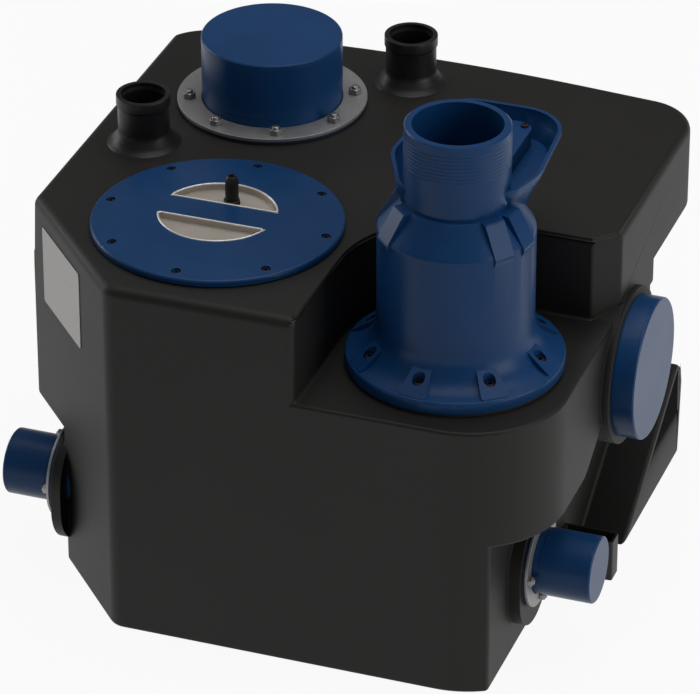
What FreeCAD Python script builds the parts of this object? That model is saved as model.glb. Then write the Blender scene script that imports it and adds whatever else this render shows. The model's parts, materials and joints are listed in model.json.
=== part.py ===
import FreeCAD, Part
import math
import os

# Sewage lifting station, millimetres, +Z up.
# The origin lies on the floor under the middle of the tank, +X runs to the right of the front face,
# and the front face looks along -Y.

V = FreeCAD.Vector
UP = V(0, 0, 1)
RIGHT = V(1, 0, 0)

# Fits
RUNNING_FIT = 0.05      # radial play of a shaft or hinge pin in its eye
SLIDE_FIT = 0.3         # radial play of a plug that is pushed in by hand
HOLE_PLAY = 0.3         # radial play of a screw in its hole
SEAT_GAP = 0.2          # between two flat faces that part when something opens
SIDE_PLAY = 0.4         # beside an eye on its pin

# Tank
RIGHT_SIDE_X = 312.0
LEFT_SIDE_X = -330.0
TANK_DEPTH = 630.0
TANK_HEIGHT = 430.0
TANK_WALL = 6.0
FRONT_RIGHT_RADIUS = 110.0
BACK_CORNER_RADIUS = 60.0
BACK_CORNER_Y = 297.0
BACK_BOW = 29.0         # how far the middle of the back stands behind its corners
BACK_BOW_RADIUS = 1900.0
LEFT_LEAN = 9.0         # how far the left side leans in at the top
LEFT_LEAN_START_Z = 300.0
CHAMFER_LENGTH_X = 159.0
CHAMFER_LENGTH_Y = 176.0
CHAMFER_EDGE_RADIUS = 24.0
TOP_EDGE_RADIUS = 12.0

# Pockets in both sides of the tank, which leave an overhanging upper part and a leg
POCKET_DEPTH_RIGHT = 54.0
POCKET_DEPTH_LEFT = 58.0
POCKET_FRONT_RIGHT_Z = 184.0
POCKET_FRONT_LEFT_Z = 172.0
POCKET_RISE_START_Y = -128.0
POCKET_RISE_END_Y = 67.0
POCKET_RISE_Z = 298.0
SKIRT_END_Y = 119.0
OVERHANG_Z = 326.0
POCKET_CORNER_RADIUS = 14.0
POCKET_RISE_RADIUS = 45.0
LEG_START_Y = 30.0
LEG_END_Y = 248.0
LEG_HEIGHT = 135.0

# Recess in the front right corner, which carries the discharge valve
RECESS_FLOOR_Z = 328.0
RECESS_PLAY = 13.0      # from the valve flange to the wall of the recess
RECESS_EDGE_BEVEL = 4.0
RECESS_END_CUT = 26.0   # slanted end of the back wall beside the right side

# Inspection opening and lid
LID_X = -107.0
LID_Y = -145.0
LID_DIAMETER = 278.0
LID_THICKNESS = 7.0
LID_DOME = 7.5          # how far the middle of the lid stands above its rim
LID_DOME_TOP_RADIUS = 72.0
LID_EDGE_RADIUS = 3.0
LID_DOME_RADIUS = 40.0  # where the dome bends, above and half of it below
LID_OPENING_DIAMETER = 228.0
LID_RIM_HEIGHT = 18.0
LID_GASKET_THICKNESS = 1.5
LID_SCREW_COUNT = 8
LID_SCREW_CIRCLE = 250.0
LID_SCREW_DIAMETER = 6.0
LID_SCREW_HEAD_DIAMETER = 10.0
LID_SCREW_HEAD_HEIGHT = 3.0
LID_SCREW_LENGTH = 16.0
SCREW_CROWN = 0.6       # flat top of a domed screw head, as a share of its width

# Two half-round pans in the middle of the lid
PAN_DIAMETER = 132.0
PAN_BAR_WIDTH = 38.0
PAN_LIP = 2.5
PAN_FLOOR = 1.5
PAN_PLATE_DIAMETER = 150.0

# Cable gland in the rear pan
GLAND_X_OFFSET = 3.0
GLAND_Y_OFFSET = 36.0
GLAND_DIAMETER = 15.0
GLAND_NUT_WIDTH = 17.0
GLAND_HEIGHT = 34.0
GLAND_BORE = 7.0
GLAND_NUT_HEIGHT = 5.0

# Top inlet
TOP_INLET_X = -152.0
TOP_INLET_Y = 148.0
TOP_INLET_TOP_Z = 515.0
INLET_PIPE_DIAMETER = 160.0
INLET_PIPE_WALL = 4.0
INLET_COLLAR_DIAMETER = 212.0
INLET_COLLAR_THICKNESS = 2.5
INLET_RING_DIAMETER = 216.0
INLET_RING_THICKNESS = 4.0
INLET_GASKET_THICKNESS = 1.5
INLET_BOLT_COUNT = 8
INLET_BOLT_CIRCLE = 188.0
INLET_BOLT_DIAMETER = 8.0
INLET_NUT_WIDTH = 13.0
INLET_NUT_HEIGHT = 6.5
INLET_STUD_TIP = 3.0    # stud end above its nut
INLET_TAIL = 30.0       # spigot below the tank top
INLET_PAD_DEPTH = 16.0  # thickened ring under the tank top

# Side inlet
SIDE_INLET_Y = 10.0
SIDE_INLET_Z = 252.0
SIDE_INLET_END_X = 346.0
SIDE_BOSS_END_X = 317.0
SIDE_BOSS_WALL = 5.0
SIDE_SEAL_THICKNESS = 4.0
SIDE_SEAL_LENGTH = 14.0
SIDE_SEAL_LIP = 3.0

# Plugs that close the pipe ends
PLUG_DISC_THICKNESS = 4.0
PLUG_SKIRT_LENGTH = 26.0
PLUG_WALL = 3.0
PLUG_RIM_RADIUS = 1.5
PIPE_RELIEF = 0.6       # a pipe end is full size, and this much smaller at its root

# Small side stubs, one each side on one axis
STUB_Y = -177.0
STUB_Z = 101.0
STUB_REACH_RIGHT = 32.0     # how far a closed stub stands out beyond the side of the tank
STUB_REACH_LEFT = 14.0
STUB_PIPE_DIAMETER = 75.0
STUB_PIPE_WALL = 3.0
STUB_SETBACK_RIGHT = 40.0   # from the side of the tank in to the face of the boss
STUB_SETBACK_LEFT = 52.0
STUB_BOSS_DIAMETER = 112.0
STUB_BOSS_DROP = 22.0   # the boss reaches this much further down
STUB_GASKET_THICKNESS = 1.5
STUB_COLLAR_THICKNESS = 2.0
STUB_RING_THICKNESS = 3.0
STUB_RING_DIAMETER = 106.0
STUB_BOLT_COUNT = 4
STUB_BOLT_CIRCLE = 92.0
STUB_BOLT_DIAMETER = 6.0
STUB_NUT_WIDTH = 10.0
STUB_NUT_HEIGHT = 5.0
STUB_STUD_DEPTH = 8.0   # in the boss
STUB_STUD_ROOM = 1.0    # between the stud and the end of its blind hole
STUB_STUD_TIP = 2.0     # stud end above its nut
STUB_TAIL = 20.0        # pipe inside the boss face

# Vent sockets
VENT_PLACES = ((-254.0, 10.0), (-20.0, 248.0))
VENT_BORE = 50.0
VENT_WALL = 4.0
VENT_HEIGHT = 60.0
VENT_COLLAR_HEIGHT = 14.0
VENT_COLLAR_WALL = 5.5
VENT_BASE_DIAMETER = 84.0
VENT_BASE_HEIGHT = 14.0
VENT_BASE_RADIUS = 12.0
VENT_BASE_RIM = 3.0     # height of the foot's outer part
VENT_STOP_BORE = 44.0   # below the end of the pushed-in pipe
VENT_STOP_HEIGHT = 6.0  # above the tank top
VENT_TAIL = 10.0        # below the tank top
VENT_TAIL_WALL = 3.0
VENT_SEAL_DEPTH = 9.0
VENT_SEAL_WIDTH = 2.0

# Name plate on the slanted corner
PLATE_LENGTH = 116.0
PLATE_HEIGHT = 93.0
PLATE_THICKNESS = 1.0
PLATE_TOP_Z = 404.0
PLATE_START = 82.0      # from the front face, along the slanted corner
PLATE_CORNER_RADIUS = 3.0

# Discharge valve
VALVE_X = 174.0
VALVE_Y = -170.0
VALVE_FLANGE_DIAMETER = 238.0
VALVE_FLANGE_THICKNESS = 12.0
VALVE_GASKET_THICKNESS = 4.0
VALVE_SCREW_COUNT = 8
VALVE_SCREW_CIRCLE = 196.0
VALVE_SCREW_TURN = -5.0  # from +X to the first screw, in degrees
VALVE_SCREW_DIAMETER = 8.0
VALVE_SCREW_HEAD_DIAMETER = 13.0
VALVE_SCREW_HEAD_HEIGHT = 5.0
VALVE_SCREW_SEAT = 6.0  # above the flange
VALVE_PAD_HEIGHT = 26.0
VALVE_PAD_WIDTH = 32.0
VALVE_PAD_TAPER = 0.6   # width beside the body, as a share of the width at the rim
VALVE_BODY_DIAMETER = 170.0
VALVE_BODY_WALL = 7.0
VALVE_FLARE = 9.0        # how far the flange rises towards the body
VALVE_FLARE_RADIUS = 36.0
VALVE_EDGE_RADIUS = 3.0
VALVE_SHOULDER_RADIUS = 8.0
VALVE_SHOULDER_Z = 496.0
VALVE_NECK_Z = 528.0
VALVE_TOP_Z = 616.0
NECK_DIAMETER = 114.3
NECK_BORE = 98.0
NECK_GROOVE = 1.5       # its depth, at the foot of the neck
NECK_GROOVE_HEIGHT = 3.0
NECK_BEVEL = 1.5
NECK_STEP = 0.6         # the neck is turned to size above the tray, and is cast below it
NECK_STEP_Z = 551.0
SHOULDER_TOP_DIAMETER = 124.0
LUG_ANGLES = (-46.0, 54.0, 80.0, -88.0)   # from the front, towards +X
LUG_WIDTH = 24.0
LUG_RISE = 6.0
LUG_FOOT = 14.0         # below the start of the shoulder
LUG_ROOT = 12.0         # how far a lug reaches into the neck's foot
VALVE_INLET_BORE = 84.0

# Clean-out tray behind the neck
TRAY_X = 169.0
TRAY_WIDTH = 168.0      # at its widest, beside the neck
TRAY_WIDEST_BACK = 40.0     # behind the valve axis
TRAY_BACK = 184.0
TRAY_BACK_WIDTH = 146.0
TRAY_BACK_RADIUS = 54.0
TRAY_SIDE_RADIUS = 60.0
TRAY_FRONT_LEFT_X = -49.0   # from the middle of the tray
TRAY_FRONT_LEFT = 37.0  # before the valve axis
TRAY_FRONT_RIGHT_X = 69.0
TRAY_FRONT_RIGHT = 8.0
TRAY_FRONT_RADIUS = 22.0
TRAY_TAPER = 18.0       # how far the wall draws in from the rim down to the tapered chamber
TRAY_RIM_Z = 549.0
TRAY_RIM_HEIGHT = 5.0
TRAY_FLOOR_Z = 520.0
TRAY_WALL = 4.0
TRAY_MIDDLE_Z = 506.0
CHAMBER_TOP_WIDTH = 112.0   # the tapered chamber between the tray and the body
CHAMBER_TOP_BACK = 160.0
CHAMBER_TOP_RADIUS = 34.0
CHAMBER_ROOT_Z = 440.0
CHAMBER_ROOT_WIDTH = 92.0
CHAMBER_ROOT_BACK = 84.0
CHAMBER_ROOT_RADIUS = 16.0
COVER_LAND_Z = 534.0    # the raised face that the clean-out cover lies on
COVER_WIDTH = 78.0
COVER_FRONT = 62.0
COVER_BACK = 164.0
COVER_THICKNESS = 5.0
COVER_GASKET_THICKNESS = 1.5
COVER_CORNER_RADIUS = 16.0
COVER_LAND = 10.0
COVER_SCREW_INSET = 9.0
COVER_SCREW_DIAMETER = 5.0
COVER_SCREW_HEAD_DIAMETER = 9.0
COVER_SCREW_HEAD_HEIGHT = 3.0
COVER_SCREW_LENGTH = 14.0

# Flap inside the valve
SEAT_HEIGHT = 6.0
SEAT_WIDTH = 10.0
FLAP_DIAMETER = 102.0
FLAP_THICKNESS = 7.0
FLAP_FACING_THICKNESS = 2.0
FLAP_HINGE_BACK = 62.0
FLAP_HINGE_RISE = 14.0
FLAP_PIN_DIAMETER = 8.0
FLAP_EYE_DIAMETER = 18.0
FLAP_EYE_WIDTH = 26.0
FLAP_LUG_THICKNESS = 8.0
FLAP_HUB_DIAMETER = 32.0
FLAP_HUB_TOP_DIAMETER = 20.0
FLAP_HUB_HEIGHT = 8.0
FLAP_ARM_RISE = 5.0     # above the disc

# Pump under the inspection opening
PUMP_X = -107.0
PUMP_Y = -125.0
PUMP_FOOT_HEIGHT = 22.0
PUMP_FOOT_COUNT = 3
PUMP_FOOT_DIAMETER = 18.0
PUMP_FOOT_CIRCLE = 96.0
PUMP_FOOT_TURN = 30.0   # from +X to the first foot, in degrees
PAD_HEIGHT = 4.0
PAD_DIAMETER = 26.0
VOLUTE_HEIGHT = 62.0
VOLUTE_WALL = 5.0
VOLUTE_SMALL_RADIUS = 56.0
VOLUTE_GROWTH = 22.0
VOLUTE_STEPS = 24       # points along the spiral
SUCTION_BORE = 56.0
OUTLET_BORE = 50.0
OUTLET_WALL = 5.0
OUTLET_REACH = 104.0    # from the pump axis to the outlet face
IMPELLER_DIAMETER = 98.0
IMPELLER_PLATE = 4.0
IMPELLER_HUB_DIAMETER = 26.0
IMPELLER_HUB_RISE = 6.0     # above the back plate
IMPELLER_VANE_HEIGHT = 18.0
IMPELLER_VANE_THICKNESS = 4.0
IMPELLER_VANE_COUNT = 5
IMPELLER_GAP = 5.0
IMPELLER_NOSE = 4.0     # shaft below the vanes
VANE_ROOT = 3.0         # how far a vane reaches into the hub
VANE_TIP_INSET = 7.0    # from the rim of the plate
VANE_MIDDLE_BEND = 9.0  # how far the middle of a vane lies behind its root
VANE_TIP_BEND = 27.0
SHAFT_DIAMETER = 16.0
MOTOR_DIAMETER = 122.0
MOTOR_WALL = 5.0
MOTOR_LENGTH = 190.0
MOTOR_FIN_COUNT = 12
MOTOR_FIN_RISE = 5.0
MOTOR_FIN_THICKNESS = 4.0
MOTOR_FIN_START = 4.0   # above the lower bearing's plate
MOTOR_FIN_END = 8.0     # below the top of the housing
MOTOR_CAP_HEIGHT = 26.0
MOTOR_CAP_RIM = 8.0     # straight part of its side
MOTOR_CAP_SHOULDER = 0.8    # widths of its dome, as shares of the motor's
MOTOR_CAP_CROWN = 0.6
MOTOR_CAP_TAIL = 4.0    # inside the housing
BEARING_SOCKET_WALL = 6.0
SEAL_DIAMETER = 34.0
SEAL_HEIGHT = 14.0
BEARING_DIAMETER = 40.0
BEARING_HEIGHT = 12.0
BEARING_PLATE_THICKNESS = 14.0
STATOR_LENGTH = 96.0
STATOR_BORE = 58.0
ROTOR_DIAMETER = 56.0
ROTOR_LENGTH = 90.0
ROTOR_GAP = 12.0        # above the lower bearing
PUMP_HANDLE_HEIGHT = 34.0
PUMP_HANDLE_SPAN = 70.0
PUMP_HANDLE_ROD = 8.0
PUMP_HANDLE_ROOT = 6.0  # in the motor cap

# Riser from the pump to the valve
RISER_WALL = 5.0
RISER_BEND_RADIUS = 70.0
RISER_FLARE_HEIGHT = 40.0   # below the upper flange
RISER_TOP_DIAMETER = 232.0
RISER_FLANGE_THICKNESS = 12.0
RISER_GASKET_THICKNESS = 2.0
OUTLET_FLANGE_DIAMETER = 92.0
OUTLET_FLANGE_THICKNESS = 8.0
OUTLET_GASKET_THICKNESS = 1.5

# Level float
FLOAT_X = 40.0
FLOAT_Y = 128.0
FLOAT_PIVOT_Z = 230.0
FLOAT_ARM_LENGTH = 140.0
FLOAT_ARM_DIAMETER = 8.0
FLOAT_REST_ANGLE = 50.0     # below level
FLOAT_DIAMETER = 84.0
FLOAT_PIN_DIAMETER = 6.0
FLOAT_EYE_DIAMETER = 18.0
FLOAT_EYE_WIDTH = 12.0
FLOAT_CHEEK_THICKNESS = 4.0
FLOAT_CHEEK_WIDTH = 26.0
FLOAT_PAD_SIZE = 60.0
FLOAT_PAD_THICKNESS = 5.0
FLOAT_SWITCH_HEIGHT = 44.0
FLOAT_SWITCH_DEPTH = 30.0
FLOAT_SWITCH_GAP = 14.0     # above the arm's eye
FLOAT_CHEEK_END = 0.5   # straight part between the two round corners of a cheek's foot
FLOAT_SOCKET_DEPTH = 6.0
FLOAT_BOSS_DIAMETER = 16.0
FLOAT_BOSS_LENGTH = 20.0
FLOAT_BOSS_RISE = 4.0   # outside the ball

# Floor anchors
ANCHOR_Y = -31.0
ANCHOR_WIDTH = 24.0
ANCHOR_REACH = 62.0
ANCHOR_HEIGHT = 50.0
ANCHOR_WALL = 3.0
ANCHOR_HOLE = 9.0
ANCHOR_CORNER_RADIUS = 3.0

HALF_DEPTH = TANK_DEPTH / 2
OUTSIDE = 60.0          # how far a cutting shape runs past what it cuts
SMALL = 0.001           # edges shorter than this are left out
VALVE = V(VALVE_X, VALVE_Y, 0)
PUMP = V(PUMP_X, PUMP_Y, 0)
LID = V(LID_X, LID_Y, 0)
os.makedirs("parts", exist_ok=True)


def save(name, shape):
    """Write one sub-part to its own file."""
    shape.exportStep("parts/" + name + ".step")
    print(name, len(shape.Solids), "solid(s)", round(shape.Volume / 1000, 1), "cm3")


def level(height):
    """A placing rule for outlines that lie flat at one height."""
    return lambda u, v: V(u, v, height)


def upright(x):
    """A placing rule for outlines seen from the right, with y across and z up."""
    return lambda u, v: V(x, u, v)


def outline(corners, place):
    """A closed wire through corners (u, v, radius), each rounded by its own radius."""
    points = [place(u, v) for u, v, _ in corners]
    ends = []
    for i, (_, _, radius) in enumerate(corners):
        here = points[i]
        to_last = (points[i - 1] - here).normalize()
        to_next = (points[(i + 1) % len(points)] - here).normalize()
        if radius <= 0:
            ends.append((here, here, here))
            continue
        half = to_last.getAngle(to_next) / 2
        reach = radius / math.tan(half)
        middle = (to_last + to_next).normalize() * (radius / math.sin(half) - radius)
        ends.append((here + to_last * reach, here + middle, here + to_next * reach))
    edges = []
    for i, (start, middle, end) in enumerate(ends):
        if start.distanceToPoint(end) > SMALL:
            edges.append(Part.Arc(start, middle, end).toShape())
        following = ends[(i + 1) % len(ends)][0]
        if end.distanceToPoint(following) > SMALL:
            edges.append(Part.LineSegment(end, following).toShape())
    return Part.Wire(edges)


def block(corners, place, travel):
    """The solid that an outline sweeps along a straight travel."""
    return Part.Face(outline(corners, place)).extrude(travel)


def rod(diameter, start, travel):
    """A round bar from start along travel."""
    return Part.makeCylinder(diameter / 2, travel.Length, start, travel)


def tube(outer, inner, start, travel):
    """A round pipe or ring from start along travel."""
    return rod(outer, start, travel).cut(rod(inner, start, travel))


def turned(profile, centre):
    """A solid of revolution about a vertical axis, from (radius, z) or (radius, z, rounding) points."""
    corners = [(point + (0,))[:3] for point in profile]
    face = Part.Face(outline(corners, lambda u, v: V(u, 0, v)))
    solid = face.revolve(V(0, 0, 0), UP, 360)
    solid.translate(V(centre.x, centre.y, 0))
    return solid


def hexagon(width, start, travel):
    """A six-sided bar, width across its flats."""
    radius = width / math.sqrt(3)
    face = Part.Face(Part.makePolygon([
        V(radius * math.cos(math.radians(60 * i)), radius * math.sin(math.radians(60 * i)), 0)
        for i in range(7)]))
    bar = face.extrude(V(0, 0, travel.Length))
    bar.Placement = FreeCAD.Placement(start, FreeCAD.Rotation(UP, travel))
    return bar


def around(centre, axis, circle, count, first_angle):
    """The points of a bolt circle about an axis."""
    turn = FreeCAD.Rotation(UP, axis)
    points = []
    for i in range(count):
        angle = math.radians(first_angle + 360 * i / count)
        points.append(centre + turn.multVec(V(math.cos(angle), math.sin(angle), 0)) * (circle / 2))
    return points


def joined(shapes):
    """One solid from pieces that touch or overlap."""
    whole = shapes[0].fuse(shapes[1:])
    return whole.removeSplitter()


def side_x(side):
    """The outermost plane of one side of the tank."""
    return RIGHT_SIDE_X if side > 0 else LEFT_SIDE_X


def pocket_depth(side):
    """How far a side pocket reaches into the tank."""
    return POCKET_DEPTH_RIGHT if side > 0 else POCKET_DEPTH_LEFT


def wall_x(side):
    """The outer face of the tank wall at the back of a side pocket."""
    return side_x(side) - side * pocket_depth(side)


def tank_plan(skin, height):
    """The tank seen from above, drawn in by skin."""
    corners = (
        (RIGHT_SIDE_X, -HALF_DEPTH, FRONT_RIGHT_RADIUS),
        (RIGHT_SIDE_X, BACK_CORNER_Y, BACK_CORNER_RADIUS),
        (0, BACK_CORNER_Y + BACK_BOW, BACK_BOW_RADIUS),
        (LEFT_SIDE_X, BACK_CORNER_Y, BACK_CORNER_RADIUS),
        (LEFT_SIDE_X, CHAMFER_LENGTH_Y - HALF_DEPTH, CHAMFER_EDGE_RADIUS),
        (LEFT_SIDE_X + CHAMFER_LENGTH_X, -HALF_DEPTH, CHAMFER_EDGE_RADIUS),
    )
    wire = outline(corners, level(height))
    return wire.makeOffset2D(-skin) if skin else wire


def side_pocket(side, skin):
    """What is missing from one side of the tank: all that lies below the overhang, but for the leg."""
    front_z = POCKET_FRONT_RIGHT_Z if side > 0 else POCKET_FRONT_LEFT_Z
    leg_foot_y = LEG_START_Y - OUTSIDE * (LEG_END_Y - LEG_START_Y) / LEG_HEIGHT
    corners = (
        (-HALF_DEPTH - OUTSIDE, front_z, 0),
        (POCKET_RISE_START_Y, front_z, POCKET_RISE_RADIUS),
        (POCKET_RISE_END_Y, POCKET_RISE_Z, POCKET_CORNER_RADIUS),
        (SKIRT_END_Y, POCKET_RISE_Z, 0),
        (SKIRT_END_Y, OVERHANG_Z, 0),
        (HALF_DEPTH + OUTSIDE, OVERHANG_Z, 0),
        (HALF_DEPTH + OUTSIDE, -OUTSIDE, 0),
        (LEG_END_Y, -OUTSIDE, 0),
        (LEG_END_Y, LEG_HEIGHT, POCKET_CORNER_RADIUS),
        (leg_foot_y, -OUTSIDE, 0),
        (-HALF_DEPTH - OUTSIDE, -OUTSIDE, 0),
    )
    wire = outline(corners, upright(wall_x(side) - side * skin))
    if skin:
        wire = wire.makeOffset2D(skin)
    return Part.Face(wire).extrude(V(side * (pocket_depth(side) + skin + OUTSIDE), 0, 0))


def recess_plan(skin, height):
    """The recess seen from above: round behind the valve, with a slanted end at the right side."""
    radius = VALVE_FLANGE_DIAMETER / 2 + RECESS_PLAY
    left = VALVE_X - radius
    back = VALVE_Y + radius
    end_x = RIGHT_SIDE_X - RECESS_END_CUT
    corners = (
        (left, -HALF_DEPTH - OUTSIDE, 0),
        (RIGHT_SIDE_X + OUTSIDE, -HALF_DEPTH - OUTSIDE, 0),
        (RIGHT_SIDE_X + OUTSIDE, back + OUTSIDE + RECESS_END_CUT, 0),
        (end_x, back, 0),
        (left, back, radius),
    )
    wire = outline(corners, level(height))
    return wire.makeOffset2D(skin) if skin else wire


def recess(skin):
    """The space over the recess floor, its upper edge bevelled on the outside."""
    floor_z = RECESS_FLOOR_Z - skin
    space = Part.Face(recess_plan(skin, floor_z)).extrude(V(0, 0, TANK_HEIGHT + OUTSIDE - floor_z))
    if skin:
        return space
    bevel = Part.makeLoft([
        recess_plan(10 * SMALL, TANK_HEIGHT - RECESS_EDGE_BEVEL),
        recess_plan(2 * RECESS_EDGE_BEVEL, TANK_HEIGHT + RECESS_EDGE_BEVEL)], True, True)
    return space.fuse(bevel)


def left_lean(skin):
    """The wedge that is missing where the left side leans in."""
    low = LEFT_LEAN_START_Z
    step = LEFT_LEAN * (TANK_HEIGHT + OUTSIDE - low) / (TANK_HEIGHT - low)
    corners = ((LEFT_SIDE_X + skin, low, 0), (LEFT_SIDE_X + skin + step, TANK_HEIGHT + OUTSIDE, 0),
               (LEFT_SIDE_X - OUTSIDE, TANK_HEIGHT + OUTSIDE, 0), (LEFT_SIDE_X - OUTSIDE, low, 0))
    return block(corners, lambda u, v: V(u, -2 * HALF_DEPTH, v), V(0, 4 * HALF_DEPTH, 0))


def tank_mass(skin):
    """The tank as a full body, drawn in by skin on every side."""
    mass = Part.Face(tank_plan(skin, skin)).extrude(V(0, 0, TANK_HEIGHT - 2 * skin))
    mass = mass.cut(left_lean(skin))
    top_z = TANK_HEIGHT - skin
    top_edges = [e for e in mass.Edges if e.BoundBox.ZMin > top_z - 1]
    mass = mass.makeFillet(TOP_EDGE_RADIUS - skin, top_edges)
    for side in (-1, 1):
        mass = mass.cut(side_pocket(side, skin))
    return mass.cut(recess(skin))


def boss_x(side):
    """The face of the boss that a side stub is bolted to."""
    return side_x(side) - side * (STUB_SETBACK_RIGHT if side > 0 else STUB_SETBACK_LEFT)


def stub_boss(side):
    """The oval boss that a side stub is bolted to."""
    inner_x = wall_x(side) - side * TANK_WALL
    travel = V(boss_x(side) - inner_x, 0, 0)
    radius = STUB_BOSS_DIAMETER / 2
    low = STUB_Z - STUB_BOSS_DROP
    corners = (
        (STUB_Y - radius, STUB_Z + radius, radius),
        (STUB_Y - radius, low - radius, radius),
        (STUB_Y + radius, low - radius, radius),
        (STUB_Y + radius, STUB_Z + radius, radius),
    )
    return block(corners, upright(inner_x), travel)


def vent_socket(x, y):
    """A vent socket on the tank top: flared foot, pipe and collar, with a stop for the pushed-in pipe."""
    outer = VENT_BORE / 2 + VENT_WALL
    collar = VENT_BORE / 2 + VENT_COLLAR_WALL
    foot = VENT_BASE_DIAMETER / 2
    tail = VENT_STOP_BORE / 2 + VENT_TAIL_WALL
    low = TANK_HEIGHT - VENT_TAIL
    top = TANK_HEIGHT + VENT_HEIGHT
    collar_z = top - VENT_COLLAR_HEIGHT
    socket = turned((
        (0, low), (tail, low), (tail, TANK_HEIGHT), (foot, TANK_HEIGHT), (foot - 1, TANK_HEIGHT + 1),
        (outer + 2 * VENT_WALL, TANK_HEIGHT + VENT_BASE_RIM),
        (outer, TANK_HEIGHT + VENT_BASE_HEIGHT, VENT_BASE_RADIUS),
        (outer, collar_z), (collar, collar_z + 2), (collar, top, 1), (0, top)), V(x, y, 0))
    return socket.cut(vent_bore(x, y))


def vent_bore(x, y):
    """The hole through a vent socket, with its stop and the groove for its lip seal."""
    top = TANK_HEIGHT + VENT_HEIGHT
    stop = TANK_HEIGHT + VENT_STOP_HEIGHT
    seal_z = top - VENT_SEAL_DEPTH
    narrow = rod(VENT_STOP_BORE, V(x, y, TANK_HEIGHT - OUTSIDE), V(0, 0, 2 * OUTSIDE))
    bore = rod(VENT_BORE, V(x, y, stop), V(0, 0, OUTSIDE))
    groove = rod(VENT_BORE + 2 * VENT_SEAL_WIDTH, V(x, y, seal_z), V(0, 0, VENT_SEAL_DEPTH / 2))
    return narrow.fuse([bore, groove])


def make_tank():
    """The moulded tank with its thickened rims, bosses and openings."""
    tank = tank_mass(0).cut(tank_mass(TANK_WALL))
    lid_rim = rod(LID_DIAMETER - 2 * LID_EDGE_RADIUS, V(LID_X, LID_Y, TANK_HEIGHT - LID_RIM_HEIGHT),
                  V(0, 0, LID_RIM_HEIGHT))
    inlet_pad = rod(INLET_RING_DIAMETER, V(TOP_INLET_X, TOP_INLET_Y, TANK_HEIGHT - INLET_PAD_DEPTH),
                    V(0, 0, INLET_PAD_DEPTH))
    side_boss_diameter = INLET_PIPE_DIAMETER + 2 * (SIDE_SEAL_THICKNESS + SIDE_BOSS_WALL)
    side_boss = rod(side_boss_diameter, V(wall_x(1) - TANK_WALL, SIDE_INLET_Y, SIDE_INLET_Z),
                    V(SIDE_BOSS_END_X - wall_x(1) + TANK_WALL, 0, 0))
    added = [lid_rim, inlet_pad, side_boss]
    added += [stub_boss(side) for side in (-1, 1)]
    tank = tank.fuse(added)

    lid_hole = rod(LID_OPENING_DIAMETER, V(LID_X, LID_Y, TANK_HEIGHT - OUTSIDE), V(0, 0, 2 * OUTSIDE))
    inlet_hole = rod(INLET_PIPE_DIAMETER + 2 * SLIDE_FIT,
                     V(TOP_INLET_X, TOP_INLET_Y, TANK_HEIGHT - OUTSIDE), V(0, 0, 2 * OUTSIDE))
    side_start = wall_x(1) - TANK_WALL - OUTSIDE
    side_hole = rod(INLET_PIPE_DIAMETER + 2 * SLIDE_FIT, V(side_start, SIDE_INLET_Y, SIDE_INLET_Z),
                    V(SIDE_BOSS_END_X + OUTSIDE - side_start, 0, 0))
    seal_hole = rod(INLET_PIPE_DIAMETER + 2 * SIDE_SEAL_THICKNESS,
                    V(SIDE_BOSS_END_X - SIDE_SEAL_LENGTH, SIDE_INLET_Y, SIDE_INLET_Z),
                    V(SIDE_SEAL_LENGTH + OUTSIDE, 0, 0))
    valve_hole = rod(VALVE_INLET_BORE, V(VALVE_X, VALVE_Y, RECESS_FLOOR_Z - OUTSIDE), V(0, 0, 2 * OUTSIDE))
    cuts = [lid_hole, inlet_hole, side_hole, seal_hole, valve_hole]
    vent_tail = VENT_STOP_BORE + 2 * (VENT_TAIL_WALL + SLIDE_FIT)
    cuts += [rod(vent_tail, V(x, y, TANK_HEIGHT - OUTSIDE), V(0, 0, 2 * OUTSIDE)) for x, y in VENT_PLACES]
    for side in (-1, 1):
        start = V(boss_x(side) - side * OUTSIDE, STUB_Y, STUB_Z)
        travel = V(side * 2 * OUTSIDE, 0, 0)
        cuts.append(rod(STUB_PIPE_DIAMETER + 2 * SLIDE_FIT, start, travel))
        depth = RIGHT * side * (STUB_STUD_DEPTH + STUB_STUD_ROOM)
        for point in stub_bolt_points(side):
            cuts.append(rod(STUB_BOLT_DIAMETER + 2 * HOLE_PLAY, point - depth, travel))
    for point in valve_screw_points():
        cuts.append(rod(VALVE_SCREW_DIAMETER + 2 * HOLE_PLAY, point - V(0, 0, OUTSIDE), V(0, 0, OUTSIDE)))
    for point in lid_screw_points():
        cuts.append(rod(LID_SCREW_DIAMETER + 2 * HOLE_PLAY, point - V(0, 0, LID_SCREW_LENGTH + 1),
                        V(0, 0, OUTSIDE)))
    for point in inlet_bolt_points():
        cuts.append(rod(INLET_BOLT_DIAMETER + 2 * HOLE_PLAY,
                        point - V(0, 0, INLET_PAD_DEPTH - TANK_WALL), V(0, 0, OUTSIDE)))
    return tank.cut(cuts)


def lid_screw_points():
    """Where the lid screws enter the tank rim, at the tank top."""
    return around(V(LID_X, LID_Y, TANK_HEIGHT), UP, LID_SCREW_CIRCLE, LID_SCREW_COUNT, 0)


def inlet_bolt_points():
    """Where the inlet studs enter the tank top."""
    half_step = 180 / INLET_BOLT_COUNT
    tank_top = V(TOP_INLET_X, TOP_INLET_Y, TANK_HEIGHT)
    return around(tank_top, UP, INLET_BOLT_CIRCLE, INLET_BOLT_COUNT, half_step)


def stub_bolt_points(side):
    """Where the studs of a side stub leave the face of its boss."""
    face = V(boss_x(side), STUB_Y, STUB_Z)
    return around(face, RIGHT * side, STUB_BOLT_CIRCLE, STUB_BOLT_COUNT, 0)


def valve_screw_points():
    """Where the valve screws enter the recess floor."""
    floor_point = V(VALVE_X, VALVE_Y, RECESS_FLOOR_Z)
    return around(floor_point, UP, VALVE_SCREW_CIRCLE, VALVE_SCREW_COUNT, VALVE_SCREW_TURN)


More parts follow.
